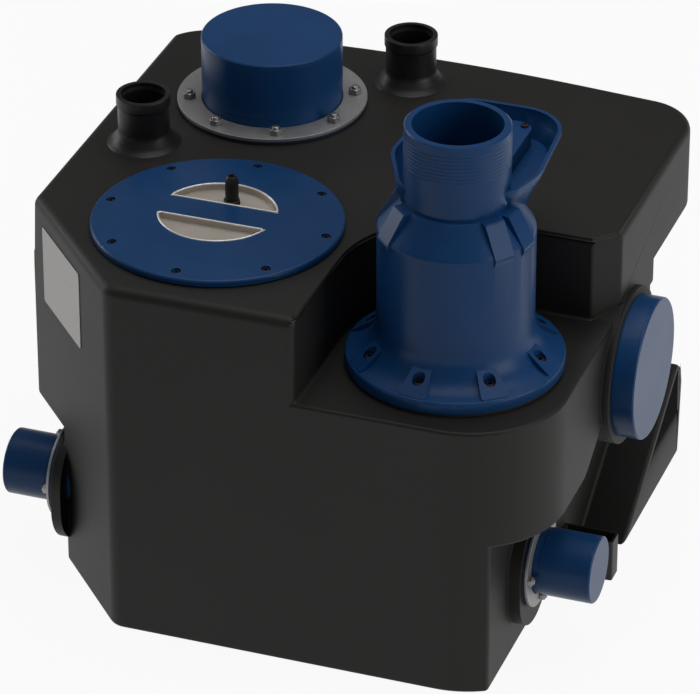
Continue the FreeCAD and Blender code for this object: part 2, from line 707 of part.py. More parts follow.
def cover_screw_points():
    """Where the screws of the clean-out cover stand, at the top of the cover."""
    top = COVER_LAND_Z + COVER_GASKET_THICKNESS + COVER_THICKNESS
    points = []
    for side in (-1, 1):
        for back in (COVER_FRONT + COVER_SCREW_INSET, COVER_BACK - COVER_SCREW_INSET):
            points.append(V(TRAY_X + side * (COVER_WIDTH / 2 - COVER_SCREW_INSET), VALVE_Y + back, top))
    return points


def stack_screw(head_diameter, head_height, shank_diameter, shank_length, point):
    """A screw with a domed head that stands on point and a shank below it."""
    radius = head_diameter / 2
    shank = shank_diameter / 2
    return turned((
        (0, point.z - shank_length), (shank, point.z - shank_length), (shank, point.z),
        (radius, point.z), (radius, point.z + head_height / 2),
        (radius * SCREW_CROWN, point.z + head_height), (0, point.z + head_height)), point)


def stud(diameter, nut_width, nut_height, below, seat, tip, point, axis):
    """A stud through point along axis, with a nut that sits on the seat height above point."""
    direction = V(axis).normalize()
    bar = rod(diameter, point - direction * below, direction * (below + seat + nut_height + tip))
    nut = hexagon(nut_width, point + direction * seat, direction * nut_height)
    return bar.fuse(nut)


def lid_bottom():
    """The underside of the lid's rim."""
    return TANK_HEIGHT + LID_GASKET_THICKNESS


def lid_top():
    """The upper face of the middle of the lid."""
    return lid_bottom() + LID_THICKNESS + LID_DOME


def half_pan(side, skin, low, high):
    """A half-round block before or behind the bar of the lid, drawn in by skin."""
    radius = PAN_DIAMETER / 2 - skin
    start = side * (PAN_BAR_WIDTH / 2 + skin)
    half = math.sqrt(radius ** 2 - start ** 2)
    chord = Part.LineSegment(V(half, start, low), V(-half, start, low)).toShape()
    arc = Part.Arc(V(-half, start, low), V(0, side * radius, low), V(half, start, low)).toShape()
    pan = Part.Face(Part.Wire([chord, arc])).extrude(V(0, 0, high - low))
    pan.translate(LID)
    return pan


def make_lid():
    """Domed lid with two half-round windows and a bar between them."""
    bottom = lid_bottom()
    radius = LID_DIAMETER / 2
    rim = bottom + LID_THICKNESS
    inside = LID_OPENING_DIAMETER / 2 - 1
    flat = LID_DOME_TOP_RADIUS
    lid = turned((
        (0, bottom + LID_DOME), (flat + LID_DOME, bottom + LID_DOME, LID_DOME_RADIUS / 2), (inside, bottom),
        (radius, bottom), (radius, rim, LID_EDGE_RADIUS), (radius - LID_THICKNESS, rim),
        (flat, lid_top(), LID_DOME_RADIUS), (0, lid_top())), LID)
    lid = lid.cut([half_pan(side, 0, bottom, TANK_HEIGHT + OUTSIDE) for side in (-1, 1)])
    cuts = []
    for point in lid_screw_points():
        seat = V(point.x, point.y, screw_seat_z())
        cuts.append(rod(LID_SCREW_DIAMETER + 2 * HOLE_PLAY, point, V(0, 0, OUTSIDE)))
        cuts.append(rod(LID_SCREW_HEAD_DIAMETER + 2 * HOLE_PLAY, seat, V(0, 0, OUTSIDE)))
    return lid.cut(cuts)


def screw_seat_z():
    """The sunk face that a lid screw's head stands on."""
    return lid_bottom() + LID_THICKNESS - LID_SCREW_HEAD_HEIGHT


def pan_floor_z():
    """The upper face of the pan floors."""
    return lid_bottom() + LID_DOME


def make_lid_pans():
    """Pressed plate under the lid, with a thin lip around each of its two half-round pans."""
    floor_z = pan_floor_z()
    plate = rod(PAN_PLATE_DIAMETER, V(LID_X, LID_Y, floor_z - PAN_FLOOR), V(0, 0, PAN_FLOOR))
    pieces = [plate]
    for side in (-1, 1):
        lip = half_pan(side, 0, floor_z - 1, lid_top()).cut(half_pan(side, PAN_LIP, floor_z, lid_top() + 1))
        pieces.append(lip)
    hole = rod(GLAND_DIAMETER + 2 * HOLE_PLAY, gland_foot() - V(0, 0, OUTSIDE / 2), V(0, 0, OUTSIDE))
    return joined(pieces).cut(hole)


def gland_foot():
    """The point of the rear pan's floor that the cable gland stands on."""
    return V(LID_X + GLAND_X_OFFSET, LID_Y + GLAND_Y_OFFSET, pan_floor_z())


def make_gland():
    """Cable gland: hexagon, clamping dome and a threaded tail with its lock nut under the pan."""
    foot = gland_foot()
    radius = GLAND_DIAMETER / 2
    tail = PAN_FLOOR + GLAND_NUT_HEIGHT + 2
    body = hexagon(GLAND_NUT_WIDTH, foot, V(0, 0, GLAND_NUT_HEIGHT))
    barrel = turned((
        (0, foot.z - tail), (radius, foot.z - tail), (radius, foot.z + GLAND_HEIGHT - 2),
        (radius - 2, foot.z + GLAND_HEIGHT), (0, foot.z + GLAND_HEIGHT)), foot)
    under = foot - V(0, 0, PAN_FLOOR + GLAND_NUT_HEIGHT)
    lock_nut = hexagon(GLAND_NUT_WIDTH, under, V(0, 0, GLAND_NUT_HEIGHT))
    bore = rod(GLAND_BORE, foot - V(0, 0, OUTSIDE), V(0, 0, 2 * OUTSIDE))
    return joined([body, barrel, lock_nut]).cut(bore)


def make_lid_gasket():
    """Flat gasket between the lid and the tank rim, inside the screws."""
    outer = LID_SCREW_CIRCLE - LID_SCREW_HEAD_DIAMETER
    start = V(LID_X, LID_Y, TANK_HEIGHT)
    return tube(outer, LID_OPENING_DIAMETER, start, V(0, 0, LID_GASKET_THICKNESS))


def make_pipe(diameter, wall, start, shoulder, end):
    """A pipe from start to end, with a full-size end and a slightly smaller root up to the shoulder."""
    root = rod(diameter - 2 * PIPE_RELIEF, start, shoulder - start)
    pipe = root.fuse(rod(diameter, shoulder, end - shoulder))
    return pipe.cut(rod(diameter - 2 * wall, start, end - start))


def make_spigot(diameter, wall, tail, collar_diameter, collar_thickness, collar_base, shoulder, end):
    """A pipe with a collar, whose base is the face that rests on its gasket."""
    axis = (end - collar_base).normalize()
    pipe = make_pipe(diameter, wall, collar_base - axis * tail, shoulder, end)
    collar = rod(collar_diameter, collar_base, axis * collar_thickness)
    return pipe.fuse(collar.cut(rod(diameter - 2 * wall, collar_base, axis * collar_thickness)))


def make_plug(diameter, wall, end, axis):
    """A closing plug: an end disc as wide as the pipe, and a hollow skirt inside the pipe."""
    radius = diameter / 2
    skirt = radius - wall - SLIDE_FIT
    hollow = skirt - PLUG_WALL
    profile = (
        (0, 0), (hollow, 0), (hollow, -PLUG_SKIRT_LENGTH), (skirt - 1, -PLUG_SKIRT_LENGTH),
        (skirt, 1 - PLUG_SKIRT_LENGTH), (skirt, 0), (radius, 0),
        (radius, PLUG_DISC_THICKNESS - PLUG_RIM_RADIUS),
        (radius - PLUG_RIM_RADIUS, PLUG_DISC_THICKNESS), (0, PLUG_DISC_THICKNESS))
    plug = turned(profile, V(0, 0, 0))
    plug.Placement = FreeCAD.Placement(end, FreeCAD.Rotation(UP, axis))
    return plug


def make_flat_ring(outer, inner, start, travel, hole_points, hole_diameter):
    """A flat ring with a circle of holes."""
    ring = tube(outer, inner, start, travel)
    reach = V(travel).normalize() * OUTSIDE
    return ring.cut([rod(hole_diameter, p - reach, reach * 2) for p in hole_points])


def make_top_inlet():
    """The top inlet as a dictionary of its pieces."""
    base = V(TOP_INLET_X, TOP_INLET_Y, TANK_HEIGHT)
    collar_base = base + UP * INLET_GASKET_THICKNESS
    ring_base = collar_base + UP * INLET_COLLAR_THICKNESS
    seat = INLET_GASKET_THICKNESS + INLET_COLLAR_THICKNESS + INLET_RING_THICKNESS
    pipe_end = V(TOP_INLET_X, TOP_INLET_Y, TOP_INLET_TOP_Z - PLUG_DISC_THICKNESS)
    points = inlet_bolt_points()
    hole = INLET_BOLT_DIAMETER + 2 * HOLE_PLAY
    bore = INLET_PIPE_DIAMETER + 2 * SLIDE_FIT
    shoulder = base + UP * (seat + INLET_NUT_HEIGHT + INLET_STUD_TIP + 1)
    spigot = make_spigot(INLET_PIPE_DIAMETER, INLET_PIPE_WALL, INLET_TAIL, INLET_COLLAR_DIAMETER,
                         INLET_COLLAR_THICKNESS, collar_base, shoulder, pipe_end)
    spigot = spigot.cut([rod(hole, p, UP * OUTSIDE / 4) for p in points])
    studs = [stud(INLET_BOLT_DIAMETER, INLET_NUT_WIDTH, INLET_NUT_HEIGHT, INLET_PAD_DEPTH - TANK_WALL - 1,
                  seat, INLET_STUD_TIP, p, UP) for p in points]
    return {
        "inlet_gasket": make_flat_ring(INLET_COLLAR_DIAMETER, bore, base, UP * INLET_GASKET_THICKNESS,
                                       points, hole),
        "top_inlet_spigot": spigot,
        "inlet_ring": make_flat_ring(INLET_RING_DIAMETER, bore, ring_base, UP * INLET_RING_THICKNESS,
                                     points, hole),
        "inlet_bolts": Part.makeCompound(studs),
        "top_inlet_plug": make_plug(INLET_PIPE_DIAMETER, INLET_PIPE_WALL, pipe_end, UP),
    }


def make_side_inlet():
    """The side inlet as a dictionary of its pieces."""
    inner = V(wall_x(1) - TANK_WALL - INLET_TAIL / 2, SIDE_INLET_Y, SIDE_INLET_Z)
    pipe_end = V(SIDE_INLET_END_X - PLUG_DISC_THICKNESS, SIDE_INLET_Y, SIDE_INLET_Z)
    seal_start = V(SIDE_BOSS_END_X - SIDE_SEAL_LENGTH, SIDE_INLET_Y, SIDE_INLET_Z)
    bore = INLET_PIPE_DIAMETER - 2 * PIPE_RELIEF
    seal = tube(INLET_PIPE_DIAMETER + 2 * SIDE_SEAL_THICKNESS, bore, seal_start, RIGHT * SIDE_SEAL_LENGTH)
    lip = tube(INLET_PIPE_DIAMETER + 2 * (SIDE_SEAL_THICKNESS + SIDE_BOSS_WALL), bore,
               V(SIDE_BOSS_END_X, SIDE_INLET_Y, SIDE_INLET_Z), RIGHT * SIDE_SEAL_LIP)
    shoulder = V(SIDE_BOSS_END_X + SIDE_SEAL_LIP + 1, SIDE_INLET_Y, SIDE_INLET_Z)
    return {
        "side_inlet_spigot": make_pipe(INLET_PIPE_DIAMETER, INLET_PIPE_WALL, inner, shoulder, pipe_end),
        "side_inlet_seal": joined([seal, lip]),
        "side_inlet_plug": make_plug(INLET_PIPE_DIAMETER, INLET_PIPE_WALL, pipe_end, RIGHT),
    }


def make_stub(side, name):
    """One side stub as a dictionary of its pieces."""
    axis = RIGHT * side
    face = V(boss_x(side), STUB_Y, STUB_Z)
    collar_base = face + axis * STUB_GASKET_THICKNESS
    ring_base = collar_base + axis * STUB_COLLAR_THICKNESS
    seat = STUB_GASKET_THICKNESS + STUB_COLLAR_THICKNESS + STUB_RING_THICKNESS
    reach = STUB_REACH_RIGHT if side > 0 else STUB_REACH_LEFT
    pipe_end = V(side_x(side) + side * (reach - PLUG_DISC_THICKNESS), STUB_Y, STUB_Z)
    points = stub_bolt_points(side)
    hole = STUB_BOLT_DIAMETER + 2 * HOLE_PLAY
    bore = STUB_PIPE_DIAMETER + 2 * SLIDE_FIT
    collar = STUB_RING_DIAMETER - 2
    shoulder = face + axis * (seat + STUB_NUT_HEIGHT + STUB_STUD_TIP + 1)
    spigot = make_spigot(STUB_PIPE_DIAMETER, STUB_PIPE_WALL, STUB_TAIL, collar, STUB_COLLAR_THICKNESS,
                         collar_base, shoulder, pipe_end)
    spigot = spigot.cut([rod(hole, p, axis * OUTSIDE / 4) for p in points])
    studs = [stud(STUB_BOLT_DIAMETER, STUB_NUT_WIDTH, STUB_NUT_HEIGHT, STUB_STUD_DEPTH, seat, STUB_STUD_TIP,
                  p, axis) for p in points]
    return {
        "stub_gasket_" + name: make_flat_ring(collar, bore, face, axis * STUB_GASKET_THICKNESS, points, hole),
        "stub_spigot_" + name: spigot,
        "stub_ring_" + name: make_flat_ring(STUB_RING_DIAMETER, bore, ring_base,
                                            axis * STUB_RING_THICKNESS, points, hole),
        "stub_bolts_" + name: Part.makeCompound(studs),
        "stub_plug_" + name: make_plug(STUB_PIPE_DIAMETER, STUB_PIPE_WALL, pipe_end, axis),
    }


def vent_seal(x, y):
    """Rubber lip seal in the groove of a vent socket."""
    low = TANK_HEIGHT + VENT_HEIGHT - VENT_SEAL_DEPTH
    high = low + VENT_SEAL_DEPTH / 2
    outer = VENT_BORE / 2 + VENT_SEAL_WIDTH
    bore = VENT_BORE / 2 + RUNNING_FIT
    return turned(((bore, low), (outer, low), (outer, high), (bore, high)), V(x, y, 0))


def make_name_plate():
    """Bare plate on the slanted front corner."""
    start = V(LEFT_SIDE_X, CHAMFER_LENGTH_Y - HALF_DEPTH, 0)
    end = V(LEFT_SIDE_X + CHAMFER_LENGTH_X, -HALF_DEPTH, 0)
    along = (end - start).normalize()
    out = V(along.y, -along.x, 0)
    middle = end - along * (PLATE_START + PLATE_LENGTH / 2)
    low = PLATE_TOP_Z - PLATE_HEIGHT
    half = PLATE_LENGTH / 2
    corners = ((-half, low, PLATE_CORNER_RADIUS), (half, low, PLATE_CORNER_RADIUS),
               (half, PLATE_TOP_Z, PLATE_CORNER_RADIUS), (-half, PLATE_TOP_Z, PLATE_CORNER_RADIUS))
    return block(corners, lambda u, v: middle + along * u + V(0, 0, v), out * PLATE_THICKNESS)


def chamber_plan(width, back, radius, height):
    """A rounded rectangle behind the valve axis, for the tapered chamber under the tray."""
    half = width / 2
    corners = (
        (TRAY_X - half, VALVE_Y, radius),
        (TRAY_X + half, VALVE_Y, radius),
        (TRAY_X + half, VALVE_Y + back, radius),
        (TRAY_X - half, VALVE_Y + back, radius),
    )
    return outline(corners, level(height))


def tray_section(z, skin):
    """The clean-out tray at height z, drawn in by skin: widest beside the neck, with a round back."""
    back_half = TRAY_BACK_WIDTH / 2
    half = TRAY_WIDTH / 2
    widest_y = VALVE_Y + TRAY_WIDEST_BACK
    corners = (
        (TRAY_X + TRAY_FRONT_LEFT_X, VALVE_Y - TRAY_FRONT_LEFT, TRAY_FRONT_RADIUS),
        (TRAY_X + TRAY_FRONT_RIGHT_X, VALVE_Y - TRAY_FRONT_RIGHT, TRAY_FRONT_RADIUS),
        (TRAY_X + half, widest_y, TRAY_SIDE_RADIUS),
        (TRAY_X + back_half, VALVE_Y + TRAY_BACK, TRAY_BACK_RADIUS),
        (TRAY_X - back_half, VALVE_Y + TRAY_BACK, TRAY_BACK_RADIUS),
        (TRAY_X - half, widest_y, TRAY_SIDE_RADIUS),
    )
    below_rim = max(0.0, TRAY_RIM_Z - TRAY_RIM_HEIGHT - z)
    drawn_in = skin + TRAY_TAPER * below_rim / (TRAY_RIM_Z - TRAY_RIM_HEIGHT - TRAY_MIDDLE_Z)
    wire = outline(corners, level(z))
    return wire.makeOffset2D(-drawn_in) if drawn_in else wire


def tray_outside():
    """The tray and the tapered chamber below it, without its hollow."""
    root = chamber_plan(CHAMBER_ROOT_WIDTH, CHAMBER_ROOT_BACK, CHAMBER_ROOT_RADIUS, CHAMBER_ROOT_Z)
    top = chamber_plan(CHAMBER_TOP_WIDTH, CHAMBER_TOP_BACK, CHAMBER_TOP_RADIUS, TRAY_MIDDLE_Z)
    rim_z = TRAY_RIM_Z - TRAY_RIM_HEIGHT
    chamber = Part.makeLoft([root, top], True, True)
    dish = Part.makeLoft([tray_section(TRAY_MIDDLE_Z, 0), tray_section(rim_z, 0)], True, True)
    rim = Part.Face(tray_section(rim_z, 0)).extrude(V(0, 0, TRAY_RIM_HEIGHT))
    return [chamber, dish, rim]


def tray_hollow():
    """The open space above the tray floor."""
    rim_z = TRAY_RIM_Z - TRAY_RIM_HEIGHT
    low = Part.makeLoft([tray_section(TRAY_FLOOR_Z, TRAY_WALL), tray_section(rim_z, TRAY_WALL)], True, True)
    high = Part.Face(tray_section(rim_z, TRAY_WALL)).extrude(V(0, 0, 2 * TRAY_RIM_HEIGHT))
    return low.fuse(high)


def cover_corners(skin):
    """The clean-out cover seen from above, drawn in by skin."""
    radius = COVER_CORNER_RADIUS - skin
    half = COVER_WIDTH / 2 - skin
    front = VALVE_Y + COVER_FRONT + skin
    back = VALVE_Y + COVER_BACK - skin
    return ((TRAY_X - half, front, radius), (TRAY_X + half, front, radius),
            (TRAY_X + half, back, radius), (TRAY_X - half, back, radius))


def clean_out_land():
    """The raised block in the tray that the cover lies on."""
    height = COVER_LAND_Z - TRAY_MIDDLE_Z
    return block(cover_corners(0), level(TRAY_MIDDLE_Z), V(0, 0, height))


def clean_out_hollow():
    """The way from the cover down into the valve body."""
    radius = COVER_CORNER_RADIUS - COVER_LAND
    mouth = outline(cover_corners(COVER_LAND), level(COVER_LAND_Z + 1))
    half = CHAMBER_ROOT_WIDTH / 2 - VALVE_BODY_WALL
    back = VALVE_Y + CHAMBER_ROOT_BACK - VALVE_BODY_WALL
    front = VALVE_Y + COVER_FRONT / 2
    throat = outline(((TRAY_X - half, front, radius), (TRAY_X + half, front, radius),
                      (TRAY_X + half, back, radius), (TRAY_X - half, back, radius)), level(CHAMBER_ROOT_Z))
    return Part.makeLoft([throat, mouth], True, True)


def on_valve(shape, angle):
    """Turn a shape made on the front of the valve about its axis, from the front towards +X."""
    turned_shape = shape.copy()
    turned_shape.rotate(VALVE, UP, angle)
    return turned_shape


def flange_top():
    """The upper face of the valve flange."""
    return RECESS_FLOOR_Z + VALVE_GASKET_THICKNESS + VALVE_FLANGE_THICKNESS


def valve_outside():
    """The casting without its hollows: flange, flared body, shoulder, neck, pads, lugs and tray."""
    base = RECESS_FLOOR_Z + VALVE_GASKET_THICKNESS
    flange = VALVE_FLANGE_DIAMETER / 2
    body = VALVE_BODY_DIAMETER / 2
    shoulder = SHOULDER_TOP_DIAMETER / 2
    neck = NECK_DIAMETER / 2
    groove_top = VALVE_NECK_Z + NECK_GROOVE_HEIGHT
    top = flange_top()
    core = turned((
        (0, base), (flange, base), (flange, top, VALVE_EDGE_RADIUS),
        (body, top + VALVE_FLARE, VALVE_FLARE_RADIUS), (body, VALVE_SHOULDER_Z, VALVE_SHOULDER_RADIUS),
        (shoulder, VALVE_NECK_Z - 2), (shoulder - 2, VALVE_NECK_Z), (neck - NECK_GROOVE, VALVE_NECK_Z),
        (neck - NECK_GROOVE, groove_top), (neck - NECK_STEP, groove_top + 1), (neck - NECK_STEP, NECK_STEP_Z),
        (neck, NECK_STEP_Z), (neck, VALVE_TOP_Z - NECK_BEVEL), (neck - NECK_BEVEL, VALVE_TOP_Z),
        (0, VALVE_TOP_Z)), VALVE)
    pieces = [core]
    pieces += valve_pads()
    pieces += [on_valve(shoulder_lug(), angle) for angle in LUG_ANGLES]
    return pieces + tray_outside()


def valve_pads():
    """Sloping pads about the flange screws, narrower towards the body."""
    top = flange_top()
    inner = VALVE_BODY_DIAMETER / 2 - VALVE_EDGE_RADIUS
    outer = VALVE_FLANGE_DIAMETER / 2 - VALVE_EDGE_RADIUS
    side_view = ((VALVE_Y - inner, top - 1, 0), (VALVE_Y - outer, top - 1, 0), (VALVE_Y - outer, top + 2, 0),
                 (VALVE_Y - inner, top + VALVE_PAD_HEIGHT, 0))
    wedge = block(side_view, upright(VALVE_X - VALVE_PAD_WIDTH / 2), V(VALVE_PAD_WIDTH, 0, 0))
    half = VALVE_PAD_WIDTH / 2
    narrow = half * VALVE_PAD_TAPER
    rounding = VALVE_EDGE_RADIUS
    plan = ((VALVE_X - half, VALVE_Y - outer, rounding), (VALVE_X + half, VALVE_Y - outer, rounding),
            (VALVE_X + narrow, VALVE_Y - inner, 0), (VALVE_X - narrow, VALVE_Y - inner, 0))
    pad = wedge.common(block(plan, level(top - 1), V(0, 0, VALVE_PAD_HEIGHT + 1)))
    return [on_valve(pad, VALVE_SCREW_TURN + 360 * i / VALVE_SCREW_COUNT) for i in range(VALVE_SCREW_COUNT)]


def shoulder_lug():
    """A flat-faced lug that stands on the shoulder, made at the front of the valve."""
    body = VALVE_BODY_DIAMETER / 2
    shoulder = SHOULDER_TOP_DIAMETER / 2
    root = VALVE_Y - shoulder + LUG_ROOT
    side_view = ((root, VALVE_NECK_Z, 0), (VALVE_Y - shoulder - LUG_RISE, VALVE_NECK_Z, LUG_RISE / 2),
                 (VALVE_Y - body - LUG_RISE / 2, VALVE_SHOULDER_Z - LUG_RISE / 2, LUG_RISE),
                 (VALVE_Y - body + 2, VALVE_SHOULDER_Z - LUG_FOOT, 0),
                 (root, VALVE_SHOULDER_Z - LUG_FOOT, 0))
    return block(side_view, upright(VALVE_X - LUG_WIDTH / 2), V(LUG_WIDTH, 0, 0))


def valve_inside():
    """The water way: inlet, flap chamber, cone and neck bore."""
    base = RECESS_FLOOR_Z
    seat = flange_top() + SEAT_HEIGHT
    inlet = VALVE_INLET_BORE / 2
    pocket = inlet + SEAT_WIDTH
    chamber = VALVE_BODY_DIAMETER / 2 - VALVE_BODY_WALL
    neck = NECK_BORE / 2
    return turned((
        (0, base), (inlet, base), (inlet, flange_top()), (pocket, flange_top()),
        (pocket, seat), (chamber, seat), (chamber, VALVE_SHOULDER_Z - VALVE_BODY_WALL / 2),
        (neck, VALVE_NECK_Z - VALVE_BODY_WALL), (neck, VALVE_TOP_Z + 1), (0, VALVE_TOP_Z + 1)), VALVE)


def hinge_point():
    """The middle of the flap's hinge."""
    return V(VALVE_X, VALVE_Y + FLAP_HINGE_BACK, flange_top() + SEAT_HEIGHT + FLAP_HINGE_RISE)


def flap_lugs():
    """Two lugs in the valve body that hold the hinge pin."""
    hinge = hinge_point()
    floor_z = flange_top() + SEAT_HEIGHT - 1
    half = FLAP_EYE_DIAMETER / 2
    lugs = []
    for side in (-1, 1):
        inner = side * (FLAP_EYE_WIDTH / 2 + SIDE_PLAY)
        start = min(inner, inner + side * FLAP_LUG_THICKNESS)
        corners = ((hinge.y - half, floor_z, 0), (hinge.y + half, floor_z, 0),
                   (hinge.y + half, hinge.z + half, half), (hinge.y - half, hinge.z + half, half))
        lugs.append(block(corners, upright(VALVE_X + start), V(FLAP_LUG_THICKNESS, 0, 0)))
    return lugs


def make_valve_body():
    """The valve casting with every hollow, hole and hinge lug."""
    neck_height = VALVE_TOP_Z - VALVE_NECK_Z
    neck = rod(NECK_DIAMETER - 2 * NECK_STEP, V(VALVE_X, VALVE_Y, VALVE_NECK_Z), V(0, 0, neck_height))
    body = joined(valve_outside()).cut(tray_hollow().cut(neck)).fuse(clean_out_land())
    body = body.cut([valve_inside(), clean_out_hollow()])
    holes = [rod(VALVE_SCREW_DIAMETER + 2 * HOLE_PLAY, p, V(0, 0, OUTSIDE)) for p in valve_screw_points()]
    seat = V(0, 0, flange_top() + VALVE_SCREW_SEAT - RECESS_FLOOR_Z)
    sunk = VALVE_SCREW_HEAD_DIAMETER + 4 * HOLE_PLAY
    holes += [rod(sunk, p + seat, V(0, 0, VALVE_PAD_HEIGHT)) for p in valve_screw_points()]
    screw = COVER_SCREW_DIAMETER + 2 * HOLE_PLAY
    holes += [rod(screw, p - V(0, 0, COVER_SCREW_LENGTH + 1), V(0, 0, OUTSIDE)) for p in cover_screw_points()]
    body = body.cut(holes).fuse(flap_lugs())
    pin = rod(FLAP_PIN_DIAMETER, hinge_point() - V(OUTSIDE / 2, 0, 0), V(OUTSIDE, 0, 0))
    return body.cut(pin)


def make_seat():
    """The seat ring that the flap closes on."""
    start = V(VALVE_X, VALVE_Y, flange_top())
    return tube(VALVE_INLET_BORE + 2 * SEAT_WIDTH, VALVE_INLET_BORE, start, V(0, 0, SEAT_HEIGHT))


def flap_base():
    """The height of the flap's sealing face when it is closed."""
    return flange_top() + SEAT_HEIGHT + SEAT_GAP


def make_flap():
    """The flap: a ribbed disc with an arm up to its hinge eye."""
    hinge = hinge_point()
    low = flap_base() + FLAP_FACING_THICKNESS
    centre = V(VALVE_X, VALVE_Y, low)
    disc = rod(FLAP_DIAMETER, centre, V(0, 0, FLAP_THICKNESS))
    rise = low + FLAP_THICKNESS
    hub_top = rise + FLAP_HUB_HEIGHT
    arm_top = rise + FLAP_ARM_RISE
    hub = turned(((0, low), (FLAP_HUB_DIAMETER / 2, low), (FLAP_HUB_DIAMETER / 2, arm_top),
                  (FLAP_HUB_TOP_DIAMETER / 2, hub_top), (0, hub_top)), VALVE)
    eye = rod(FLAP_EYE_DIAMETER, hinge - V(FLAP_EYE_WIDTH / 2, 0, 0), V(FLAP_EYE_WIDTH, 0, 0))
    eye_third = FLAP_EYE_DIAMETER / 3
    side_view = ((VALVE_Y, low + FLAP_THICKNESS / 2, 0), (hinge.y, low + FLAP_THICKNESS / 2, 0),
                 (hinge.y + eye_third / 2, hinge.z, 0), (hinge.y - eye_third / 2, hinge.z + eye_third, 0),
                 (VALVE_Y + FLAP_HUB_TOP_DIAMETER / 2, arm_top, 0), (VALVE_Y, arm_top, 0))
    arm = block(side_view, upright(VALVE_X - FLAP_EYE_WIDTH / 2), V(FLAP_EYE_WIDTH, 0, 0))
    pin_hole = rod(FLAP_PIN_DIAMETER + 2 * RUNNING_FIT, hinge - V(OUTSIDE / 2, 0, 0), V(OUTSIDE, 0, 0))
    return joined([disc, hub, eye, arm]).cut(pin_hole)


def make_flap_facing():
    """Rubber facing under the flap."""
    return rod(FLAP_DIAMETER, V(VALVE_X, VALVE_Y, flap_base()), V(0, 0, FLAP_FACING_THICKNESS))


def make_flap_pin():
    """Hinge pin through both lugs of the valve body."""
    half = FLAP_EYE_WIDTH / 2 + SIDE_PLAY + FLAP_LUG_THICKNESS
    return rod(FLAP_PIN_DIAMETER, hinge_point() - V(half, 0, 0), V(2 * half, 0, 0))


def make_valve_cover():
    """Clean-out cover plate, its gasket and its screws."""
    low = COVER_LAND_Z + COVER_GASKET_THICKNESS
    points = cover_screw_points()
    screw = COVER_SCREW_DIAMETER + 2 * HOLE_PLAY
    cover = block(cover_corners(0), level(low), V(0, 0, COVER_THICKNESS))
    gasket = block(cover_corners(0), level(COVER_LAND_Z), V(0, 0, COVER_GASKET_THICKNESS))
    opening = block(cover_corners(COVER_LAND), level(COVER_LAND_Z), V(0, 0, COVER_GASKET_THICKNESS))
    holes = [rod(screw, p - V(0, 0, OUTSIDE / 2), V(0, 0, OUTSIDE)) for p in points]
    screws = [stack_screw(COVER_SCREW_HEAD_DIAMETER, COVER_SCREW_HEAD_HEIGHT, COVER_SCREW_DIAMETER,
                          COVER_SCREW_LENGTH, p) for p in points]
    return {
        "valve_cover": cover.cut(holes),
        "valve_cover_gasket": gasket.cut([opening] + holes),
        "valve_cover_screws": Part.makeCompound(screws),
    }


def make_valve_fixings():
    """Gasket under the valve flange and the screws through it."""
    start = V(VALVE_X, VALVE_Y, RECESS_FLOOR_Z)
    points = valve_screw_points()
    hole = VALVE_SCREW_DIAMETER + 2 * HOLE_PLAY
    seat = flange_top() + VALVE_SCREW_SEAT - RECESS_FLOOR_Z
    length = seat + TANK_WALL + RISER_GASKET_THICKNESS + RISER_FLANGE_THICKNESS
    screws = [stack_screw(VALVE_SCREW_HEAD_DIAMETER, VALVE_SCREW_HEAD_HEIGHT, VALVE_SCREW_DIAMETER, length,
                          p + V(0, 0, seat)) for p in points]
    return {
        "valve_flange_gasket": make_flat_ring(VALVE_FLANGE_DIAMETER - 4, VALVE_INLET_BORE, start,
                                              V(0, 0, VALVE_GASKET_THICKNESS), points, hole),
        "valve_flange_screws": Part.makeCompound(screws),
    }


def volute_floor():
    """The underside of the pump casing."""
    return TANK_WALL + PAD_HEIGHT + PUMP_FOOT_HEIGHT


def outlet_axis():
    """The middle of the pump's outlet, in line with the riser."""
    return V(PUMP_X, VALVE_Y, volute_floor() + VOLUTE_HEIGHT / 2)


def spiral_wire(small_radius, growth, height):
    """A spiral that grows steadily over one turn, closed by a straight cut at the outlet side."""
    points = []
    for i in range(VOLUTE_STEPS + 1):
        share = i / VOLUTE_STEPS
        angle = -math.pi / 2 - 2 * math.pi * share
        radius = small_radius + growth * (1 - share)
        points.append(PUMP + V(radius * math.cos(angle), radius * math.sin(angle), height))
    curve = Part.BSplineCurve()
    curve.interpolate(points)
    return Part.Wire([curve.toShape(), Part.LineSegment(points[-1], points[0]).toShape()])


def make_volute():
    """Spiral pump casing with a suction opening below and a flanged outlet to the side."""
    low = volute_floor()
    outer = Part.Face(spiral_wire(VOLUTE_SMALL_RADIUS + VOLUTE_WALL, VOLUTE_GROWTH, low)).extrude(
        V(0, 0, VOLUTE_HEIGHT))
    axis = outlet_axis()
    neck_end = OUTLET_REACH - OUTLET_FLANGE_THICKNESS
    outlet = rod(OUTLET_BORE + 2 * OUTLET_WALL, axis, V(neck_end, 0, 0))
    flange = rod(OUTLET_FLANGE_DIAMETER, axis + V(neck_end, 0, 0), V(OUTLET_FLANGE_THICKNESS, 0, 0))
    casing = joined([outer, outlet, flange])
    chamber = Part.Face(spiral_wire(VOLUTE_SMALL_RADIUS, VOLUTE_GROWTH, low + VOLUTE_WALL)).extrude(
        V(0, 0, VOLUTE_HEIGHT - 2 * VOLUTE_WALL))
    bore = rod(OUTLET_BORE, axis, V(OUTLET_REACH, 0, 0))
    suction = rod(SUCTION_BORE, V(PUMP_X, PUMP_Y, low), V(0, 0, 2 * VOLUTE_WALL))
    shaft_hole = rod(SEAL_DIAMETER, V(PUMP_X, PUMP_Y, low), V(0, 0, VOLUTE_HEIGHT))
    return casing.cut([chamber, bore, suction, shaft_hole])


def pump_foot_points():
    """Where the pump's pads stand on the tank floor."""
    return around(PUMP + V(0, 0, TANK_WALL), UP, PUMP_FOOT_CIRCLE, PUMP_FOOT_COUNT, PUMP_FOOT_TURN)


